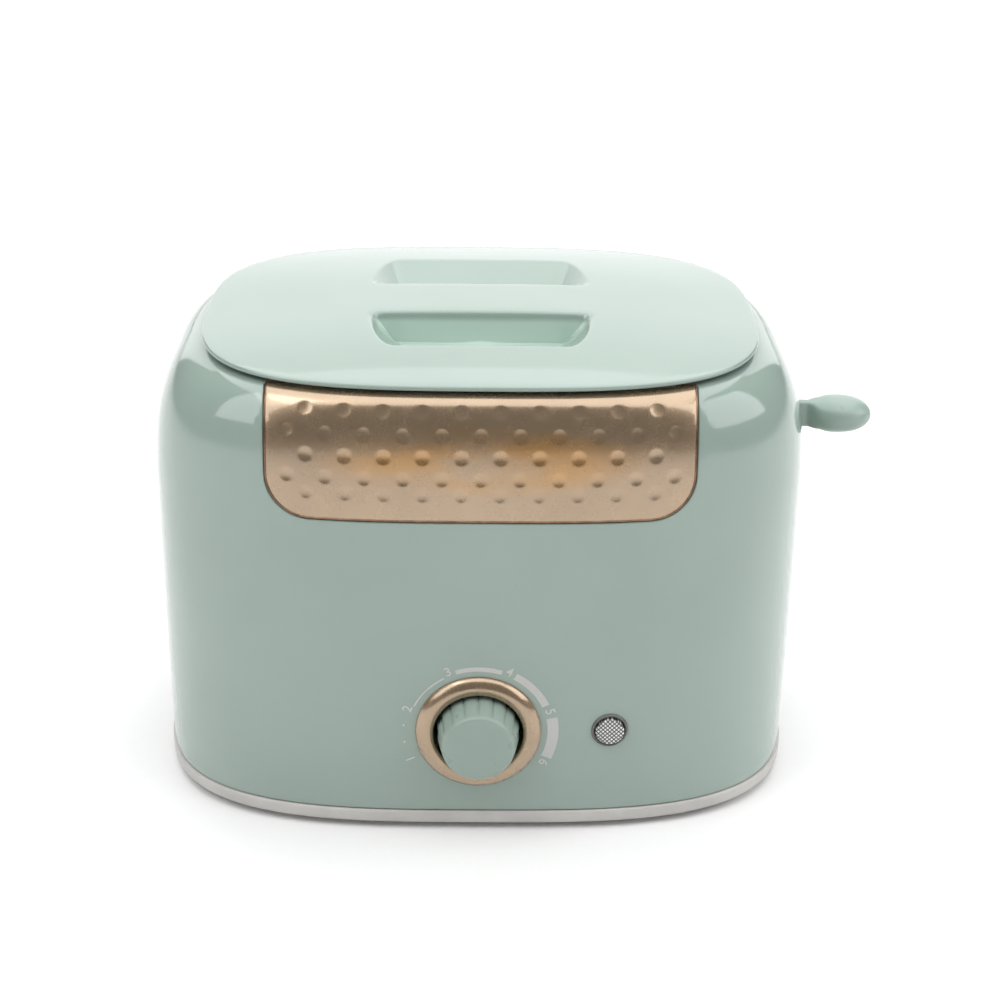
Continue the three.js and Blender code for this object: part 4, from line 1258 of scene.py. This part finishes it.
# --------------------------------------------------------------------------------------------- front controls
class TOASTER_OT_controls(bpy.types.Operator):
    """Knob ring, browning knob, stop button and the printed browning scale"""
    bl_idname = "toaster.controls"
    bl_label = "Front controls"

    def execute(self, context):
        sizes = context.scene.toaster_sizes
        form = BodyForm(sizes)
        self.ring(form)
        self.knob(sizes)
        self.button(form)
        self.scale(form)
        return {"FINISHED"}

    def ring(self, form):
        z = centre_of("knob_shaft")[2]
        face = form.wall_at(0, z)
        profile = [(22.8, None), (22.8, -0.35), (22.72, -0.8), (22.45, -1.3), (22.0, -1.8), (21.4, -2.3),
                   (20.7, -2.75), (19.9, -3.1), (19.1, -3.28), (18.3, -3.25), (17.6, -3.1), (17.0, -2.9),
                   (16.6, -2.65), (16.35, -2.3), (16.22, -1.8), (16.2, -1.0), (16.2, 6.9), (17.5, 6.9),
                   (17.5, 2.2)]
        rows = []
        for radius, rise in profile:
            row = []
            for t in np.linspace(0, 2 * pi, 128, endpoint=False):
                x, height = radius * cos(t), z + radius * sin(t)
                y = form.wall_at(x, height) - 0.02 if rise is None else face + rise
                row.append((x, y, height))
            rows.append(row)
        for row, below in zip(rows[1:3], (0.25, 0.6)):
            for i, (x, y, height) in enumerate(row):
                row[i] = (x, min(y, form.wall_at(x, height) - below * 0.4), height)
        Shape().grid(rows).piece("Knob_ring", "champagne", "toaster_body", "champagne", ["knob_bezel"])

    def knob(self, sizes):
        low, high = local_box("browning_knob")
        z, front = (low[2] + high[2]) / 2, low[1]
        flutes, count = sizes.flutes, sizes.flutes * 20
        profile = [(3.4, 13.6, 0), (14.6, 13.6, 0.9), (14.95, 13.2, 1), (14.95, 12.0, 1), (14.6, 9.6, 1),
                   (14.2, 7.2, 0.95), (13.8, 4.8, 0.8), (13.45, 2.9, 0.5), (13.25, 1.9, 0.22),
                   (13.1, 1.25, 0.06), (12.8, 0.68, 0), (12.4, 0.28, 0), (11.9, 0.08, 0), (11.3, 0, 0),
                   (9.0, 0, 0), (6.0, 0.05, 0), (3.0, 0.09, 0), (0.01, 0.1, 0)]
        rows = []
        for radius, back, cut in profile:
            row = []
            for i in range(count):
                t = 2 * pi * i / count
                groove = 1 - abs(sin(flutes * t / 2)) ** 0.55
                r = radius - 0.85 * cut * groove
                row.append((r * cos(t), front + back, z + r * sin(t)))
            rows.append(row)
        shape = Shape().grid(rows)
        point = radians(POINTER_TURN)
        along, across = Vector((cos(point), 0, sin(point))), Vector((-sin(point), 0, cos(point)))
        middle = Vector((0, front, z)) + along * POINTER_RADIUS
        heel = middle - along * 1.1
        tick = [middle + along * 1.5, heel + across * 0.75, heel - across * 0.75]
        ring = [p - Vector((0, 0.22, 0)) for p in tick]
        foot = [middle + (p - middle) * 1.25 + Vector((0, 0.15, 0)) for p in tick]
        shape.grid([foot, ring], caps=(False, True))
        shape.piece("Browning_knob", "mint_satin", "knob", "mint_gloss", ["browning_knob"], sharp=50)

    def button(self, form):
        low, high = local_box("stop_button")
        x, z = (low[0] + high[0]) / 2, (low[2] + high[2]) / 2
        rim = form.wall_at(x, z)
        profile = [(6.0, 8), (6.0, 0.5), (6.7, None), (6.7, -0.35), (6.55, -0.62), (6.25, -0.8), (5.95, -0.75),
                   (5.7, -0.55), (5.5, -0.1), (5.45, 0.6), (5.45, 8)]
        rows = []
        for radius, rise in profile:
            row = []
            for t in np.linspace(0, 2 * pi, 64, endpoint=False):
                px, pz = x + radius * cos(t), z + radius * sin(t)
                wall = form.wall_at(px, pz)
                y = wall - 0.02 if rise is None else max(wall, rim - 0.4) + rise
                row.append((px, y, pz))
            rows.append(row)
        Shape().grid(rows).piece("Button_sleeve", "sleeve", "toaster_body", "black_plastic", ["button_sleeve"])
        face, reach = low[1], 5.2
        lens = ((1, 4.0), (1, 0.7), (0.985, 0.42), (0.95, 0.2), (0.9, 0.1), (0.7, 0.05), (0.4, 0.01), (0, 0))
        shape = Shape().turned([(share * reach, face + sink) for share, sink in lens], "y", (x, 0, z), 72)
        shape.piece("Stop_button", "lens", "button", "clear_lens", ["stop_button"])

    def scale(self, form):
        """Digits 1 to 6 and a band that widens from 1 to 6, printed on the housing."""
        z = centre_of("knob_shaft")[2]
        shape = Shape()

        def lay(x, up):
            return x, form.wall_at(x, z + up) - INK_PROUD, z + up

        for digit, turn in zip("123456", DIGIT_TURNS):
            letters = bpy.data.curves.new("Digit", "FONT")
            letters.body, letters.size, letters.align_x, letters.align_y = digit, 4.9, "CENTER", "CENTER"
            letters.resolution_u, letters.offset = 4, 0.07
            holder = bpy.data.objects.new("Digit", letters)
            flat = holder.to_mesh()
            a = radians(turn)
            lean = a - pi / 2
            points = []
            for v in flat.vertices:
                px = v.co.x * cos(lean) - v.co.y * sin(lean)
                pz = v.co.x * sin(lean) + v.co.y * cos(lean)
                points.append(lay(DIGIT_RADIUS * cos(a) + px, DIGIT_RADIUS * sin(a) + pz))
            shape.add(points, [tuple(f.vertices) for f in flat.polygons])
            holder.to_mesh_clear()
            bpy.data.objects.remove(holder)
            bpy.data.curves.remove(letters)
        for start, end, wide in BANDS:
            turns = np.radians(np.linspace(start, end, 24))
            shape.grid([[lay(r * cos(t), r * sin(t)) for t in turns]
                        for r in np.linspace(SCALE_RADIUS, SCALE_RADIUS + wide, 4)], closed=False)
        dot, sides = 0.4, 12
        for turn in (175, 190):
            a = radians(turn)
            middle = (DIGIT_RADIUS * cos(a), DIGIT_RADIUS * sin(a))
            ring = [lay(middle[0] + dot * cos(t), middle[1] + dot * sin(t))
                    for t in np.linspace(0, 2 * pi, sides, endpoint=False)]
            shape.add(ring, [tuple(range(sides))])
        shape.piece("Browning_scale", "ink", "toaster_body", "mint_gloss")


class TOASTER_OT_lever(bpy.types.Operator):
    """Finger pad of the carriage lever on its flat stem"""
    bl_idname = "toaster.lever"
    bl_label = "Lever knob"

    def execute(self, context):
        low, high = local_box("lever_knob")
        y, z = (low[1] + high[1]) / 2, (low[2] + high[2]) / 2
        neck, pad_start, pad_end = 122, 124.6, high[0]
        pad_half = np.array([(high[1] - low[1]) / 2, (high[2] - low[2]) / 2])
        stem_half = np.array([2.2, 5.0])
        rows = []
        stations = list(np.linspace(low[0], neck, 6))
        stations += list(pad_end - (pad_end - neck) * np.linspace(1, 0, 34)[1:] ** 1.7)
        for x in stations:
            t = (x - (pad_start + pad_end) / 2) / ((pad_end - pad_start) / 2)
            swell = max(0.0, 1 - abs(t) ** (2.15 if t > 0 else 1.9)) ** 0.5
            pad = pad_half * swell
            keep = min(1, max(0, (pad_end - 6 - x) / 10)) if x > pad_start else 1
            half = (pad ** 4 + (stem_half * keep) ** 4) ** 0.25
            blend = min(1, max(0, (x - pad_start + 2) / 6))
            n = 6 - 3.8 * blend
            half = np.maximum(half, 0.02)
            rows.append([(x, y + half[0] * a, z + half[1] * b)
                         for a, b in zip(*superellipse(np.linspace(0, 2 * pi, 64, endpoint=False), n))])
        shape = Shape().grid(rows, caps=(True, True))
        shape.piece("Lever_knob", "mint_satin", "carriage", "mint_gloss", ["lever_knob"], sharp=60)
        return {"FINISHED"}


# -------------------------------------------------------------------------------------------- inside and rear
class TOASTER_OT_heating(bpy.types.Operator):
    """Wound mica heaters and round-wire bread guards"""
    bl_idname = "toaster.heating"
    bl_label = "Heaters and guards"

    def execute(self, context):
        turns = context.scene.toaster_sizes.heater_turns
        for side in ("front", "rear"):
            for which in ("outer", "inner"):
                self.heater(f"heater_{side}_{which}", turns)
                self.guard(f"bread_guard_{side}_{which}")
            self.rack(f"bread_rack_{side}")
        return {"FINISHED"}

    def heater(self, node, turns):
        low, high = local_box(node)
        middle = (low[1] + high[1]) / 2
        tape = 0.12
        board = Shape().rounded_box((low[0], middle - 0.42, low[2]), (high[0], middle + 0.42, high[2]), 0.15)
        board.piece(node.capitalize(), "mica", "toaster_body", "mica", [node])
        winding = Shape()
        bare = 8
        rise = (high[2] - low[2] - 2 * bare) / turns
        for face in (-1, 1):
            y = middle + face * 0.5
            for i in range(turns):
                z0 = low[2] + bare + i * rise
                z1 = z0 + (rise if face > 0 else 0)
                rows = []
                for x in np.linspace(low[0] + 0.3, high[0] - 0.3, 9):
                    t = (x - low[0]) / (high[0] - low[0])
                    zc = z0 + (z1 - z0) * t
                    rows.append([(x, y + face * side * tape / 2, zc + up * 0.9)
                                 for side, up in ((1, -1), (1, 1), (-1, 1), (-1, -1))])
                winding.grid(rows, caps=(True, True))
        winding.piece(node.capitalize() + "_tape", "tape", "toaster_body", "mica")

    def guard(self, node):
        low, high = local_box(node)
        y, r = (low[1] + high[1]) / 2, 0.5
        x0, x1, z0, z1 = low[0] + r, high[0] - r, low[2] + r, high[2] - r
        corner = 6
        path = []
        for cx, cz, start in ((x1 - corner, z0 + corner, -90), (x1 - corner, z1 - corner, 0),
                              (x0 + corner, z1 - corner, 90), (x0 + corner, z0 + corner, 180)):
            path += [(a, y, b) for a, b in arc(cx, cz, corner, start, start + 90, 5)]
        shape = Shape().wire(path, r, 10, closed=True)
        bars = 6
        for i in range(1, bars - 1):
            x = x0 + (x1 - x0) * i / (bars - 1)
            shape.wire([(x, y, z0 + (z1 - z0) * k / 4) for k in range(5)], r * 0.9, 10)
        shape.piece(node.capitalize(), "wire", node.replace("bread_", ""), "steel", [node])

    def rack(self, node):
        low, high = local_box(node)
        y, top = (low[1] + high[1]) / 2, high[2]
        shape = Shape().rounded_box((low[0], y - 0.7, top - 6), (high[0], y + 0.7, top - 0.7), 0.3)
        for x in range(-66, 55, 24):
            path = [(x, y + 10 * t, top - 0.9 + (0.35 if abs(t) > 0.9 else 0))
                    for t in np.linspace(-0.92, 0.92, 13)]
            shape.wire(path, 0.85, 10)
        shape.piece(node.capitalize(), "steel", "carriage", "steel", [node])


class TOASTER_OT_rear(bpy.types.Operator):
    """Crumb tray with its end piece, and the cord gland in the rear wall"""
    bl_idname = "toaster.rear"
    bl_label = "Crumb tray and gland"

    def execute(self, context):
        self.tray()
        self.handle(BodyForm(context.scene.toaster_sizes))
        self.gland()
        return {"FINISHED"}

    def tray(self):
        low, high = local_box("crumb_tray")
        cx, cy = (low[0] + high[0]) / 2, (low[1] + high[1]) / 2
        hx, hy = (high[0] - low[0]) / 2, (high[1] - low[1]) / 2
        rows = []
        foot, top = low[2], high[2]
        for inset, z in ((20, foot), (1.4, foot), (0.5, foot + 0.4), (0.3, foot + 1.3), (0.3, top - 0.5),
                         (0.0, top - 0.15), (0.2, top), (0.7, top - 0.1), (0.9, top - 0.5),
                         (0.9, foot + 1.5), (1.2, foot + 0.9), (2.0, foot + 0.7), (20, foot + 0.7)):
            corner = max(0.6, 3.0 - inset * 0.4)
            outline = round_rect_path(hx - inset, hy - inset, corner, 5, cx, cy)
            rows.append(resample([(x, y, z) for x, y in outline], 120))
        shape = Shape().grid(rows, caps=(True, True))
        shape.piece("Crumb_tray", "steel", "tray", "steel", ["crumb_tray"])

    def handle(self, form):
        low, high = local_box("tray_handle")
        rows = []
        columns = np.linspace(low[0] + 0.2, high[0] - 0.2, 41)
        foot, top = low[2], high[2]
        profile = [(None, foot + 0.2), (0.35, foot), (0.1, foot + 0.35), (0, foot + 1.2), (0, top - 1.2),
                   (0.15, top - 0.4), (0.55, top), (None, top)]
        for back, z in profile:
            row = []
            for x in columns:
                wall = form.wall_at(x, max(z, form.foot), 1)
                row.append((x, low[1] if back is None else wall - 0.05 - back, z))
            rows.append(row)
        shape = Shape().grid(rows, closed=False)
        shape.grid([rows[0], rows[-1]], closed=False)
        for i in (0, -1):
            shape.add([row[i] for row in rows], [tuple(range(len(rows)))])
        grip = []
        for x in np.linspace(-15, 15, 25):
            edge = min(1, (15.01 - abs(x)) / 1.6) ** 0.5
            inner = low[1] + 1.5
            outer = inner + (high[1] - inner) * (0.55 + 0.45 * edge)
            grip.append([(x, inner, 8.6), (x, inner, 11.2), (x, outer - 0.5, 11.2), (x, outer - 0.1, 10.8),
                         (x, outer, 10.2), (x, outer, 9.6), (x, outer - 0.1, 9.0), (x, outer - 0.5, 8.6)])
        shape.grid(grip, caps=(True, True))
        shape.piece("Tray_end", "grey", "tray", "grey_plastic", ["tray_handle"])

    def gland(self):
        low, high = local_box("cord_gland")
        x, z = (low[0] + high[0]) / 2, (low[2] + high[2]) / 2
        back = high[1]
        profile = [(3.2, low[1]), (4.6, low[1]), (4.6, back - 3.4), (7.4, back - 3.4), (7.4, back - 0.9),
                   (7.1, back - 0.3), (6.4, back - 0.05), (5.4, back), (4.5, back - 0.15), (3.7, back - 0.6),
                   (3.25, back - 1.5), (3.2, back - 3), (3.2, low[1])]
        shape = Shape().turned(profile, "y", (x, 0, z), 48)
        shape.piece("Cord_gland", "rubber", "toaster_body", "rubber", ["cord_gland"])


class TOASTER_OT_inside(bpy.types.Operator):
    """Finishes for the hidden pieces, among them the spring that lifts the carriage"""
    bl_idname = "toaster.inside"
    bl_label = "Inner pieces"

    def execute(self, context):
        finishes = {
            "brass": ["knob_shaft"],
            "board": ["control_board", "main_board"],
            "black": ["button_plunger", "stop_switch", "power_switch"],
            "lens": ["indicator_lamp"],
            "copper": ["magnet_coil"],
            "zinc": ["potentiometer", "end_plate_left", "end_plate_right", "carriage_bracket", "lever_arm",
                     "base_screw_front_left", "base_screw_front_right", "base_screw_rear_left",
                     "base_screw_rear_right"],
            "steel": ["reflector_front", "reflector_rear", "latch_plate", "guide_rod_front", "guide_rod_rear",
                      "magnet_core", "carriage_spring"],
        }
        for finish, names in finishes.items():
            for name in names:
                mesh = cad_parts[name].data
                mesh.materials.clear()
                mesh.materials.append(PALETTE[finish])
        return {"FINISHED"}


# ------------------------------------------------------------------------------------------------------ stage
class TOASTER_OT_stage(bpy.types.Operator):
    """Pale floor, soft lights and the camera"""
    bl_idname = "toaster.stage"
    bl_label = "Stage"

    def execute(self, context):
        self.floor()
        self.light("Ceiling_softbox", (0, 0.25, 1.5), (0, 0.25, 0), (2.2, 2.7), 40)
        self.light("Rear_softbox", (0, 2.4, 0.98), (0, 0, 0.2), (3.4, 1.95), 26)
        self.light("Right_softbox", (1.26, -0.34, 0.85), (0, 0, 0.16), (1.3, 0.95), 9.5)
        self.light("Left_softbox", (-1.21, -0.66, 1.15), (0, 0, 0.16), (0.9, 1.5), 10)
        world = bpy.data.worlds.new("Studio")
        world.use_nodes = True
        air = world.node_tree.nodes["Background"].inputs
        air["Color"].default_value, air["Strength"].default_value = (1, 1, 1, 1), 0.09
        context.scene.world = world
        context.scene.view_settings.view_transform = "Standard"
        self.camera(context.scene)
        return {"FINISHED"}

    def floor(self):
        mesh = bpy.data.meshes.new("Floor")
        sheet = bmesh.new()
        bmesh.ops.create_grid(sheet, x_segments=24, y_segments=24, size=5)
        for v in sheet.verts:
            v.co.z = 0.08 * max(0, v.co.length - 4) ** 2
        sheet.to_mesh(mesh)
        sheet.free()
        mesh.materials.append(PALETTE["paper"])
        mesh.shade_smooth()
        floor = bpy.data.objects.new("Floor", mesh)
        bpy.context.scene.collection.objects.link(floor)

    def light(self, name, at, aim, size, power):
        data = bpy.data.lights.new(name, "AREA")
        data.shape, data.size, data.size_y, data.energy = "RECTANGLE", size[0], size[1], power
        lamp = bpy.data.objects.new(name, data)
        lamp.location = at
        lamp.rotation_euler = (Vector(aim) - Vector(at)).to_track_quat("-Z", "Y").to_euler()
        bpy.context.scene.collection.objects.link(lamp)

    def camera(self, scene):
        place = (-0.01916, -0.69036, 0.4289)
        azimuth, height, roll = radians(-1.08), radians(25.62), radians(0.86)
        back = Vector((sin(azimuth) * cos(height), -cos(azimuth) * cos(height), sin(height)))
        right = Vector((cos(azimuth), sin(azimuth), 0))
        up = back.cross(right)
        across = cos(roll) * right + sin(roll) * up
        upward = cos(roll) * up - sin(roll) * right
        data = bpy.data.cameras.new("Camera")
        data.lens, data.sensor_width, data.clip_start = 71.86, 36, 0.02
        camera = bpy.data.objects.new("Camera", data)
        turn = Matrix((across, upward, back)).transposed().to_4x4()
        camera.matrix_world = Matrix.Translation(place) @ turn
        bpy.context.scene.collection.objects.link(camera)
        scene.camera = camera


class TOASTER_PT_toaster(bpy.types.Panel):
    """The toaster's pieces and sizes"""
    bl_idname = "TOASTER_PT_toaster"
    bl_label = "Toaster"
    bl_space_type = "VIEW_3D"
    bl_region_type = "UI"
    bl_category = "Toaster"

    def draw(self, context):
        layout = self.layout
        for group in (context.scene.toaster_sizes, context.scene.toaster_colours):
            for name in group.bl_rna.properties.keys():
                if name not in ("rna_type", "name"):
                    layout.prop(group, name)
        for step in STEPS:
            layout.operator(step.bl_idname)


STEPS = (TOASTER_OT_housing, TOASTER_OT_panel, TOASTER_OT_cover, TOASTER_OT_base, TOASTER_OT_deck,
         TOASTER_OT_controls, TOASTER_OT_lever, TOASTER_OT_heating, TOASTER_OT_rear, TOASTER_OT_inside,
         TOASTER_OT_stage)
CLASSES = (ToasterSizes, ToasterColours, *STEPS, TOASTER_PT_toaster)


def register():
    for cls in CLASSES:
        bpy.utils.register_class(cls)
    bpy.types.Scene.toaster_sizes = PointerProperty(type=ToasterSizes)
    bpy.types.Scene.toaster_colours = PointerProperty(type=ToasterColours)


def unregister():
    del bpy.types.Scene.toaster_sizes
    del bpy.types.Scene.toaster_colours
    for cls in reversed(CLASSES):
        bpy.utils.unregister_class(cls)


def main():
    register()
    build_palette(bpy.context.scene.toaster_colours)
    for step in STEPS:
        group, name = step.bl_idname.split(".")
        getattr(getattr(bpy.ops, group), name)()


if __name__ == "__main__":
    main()
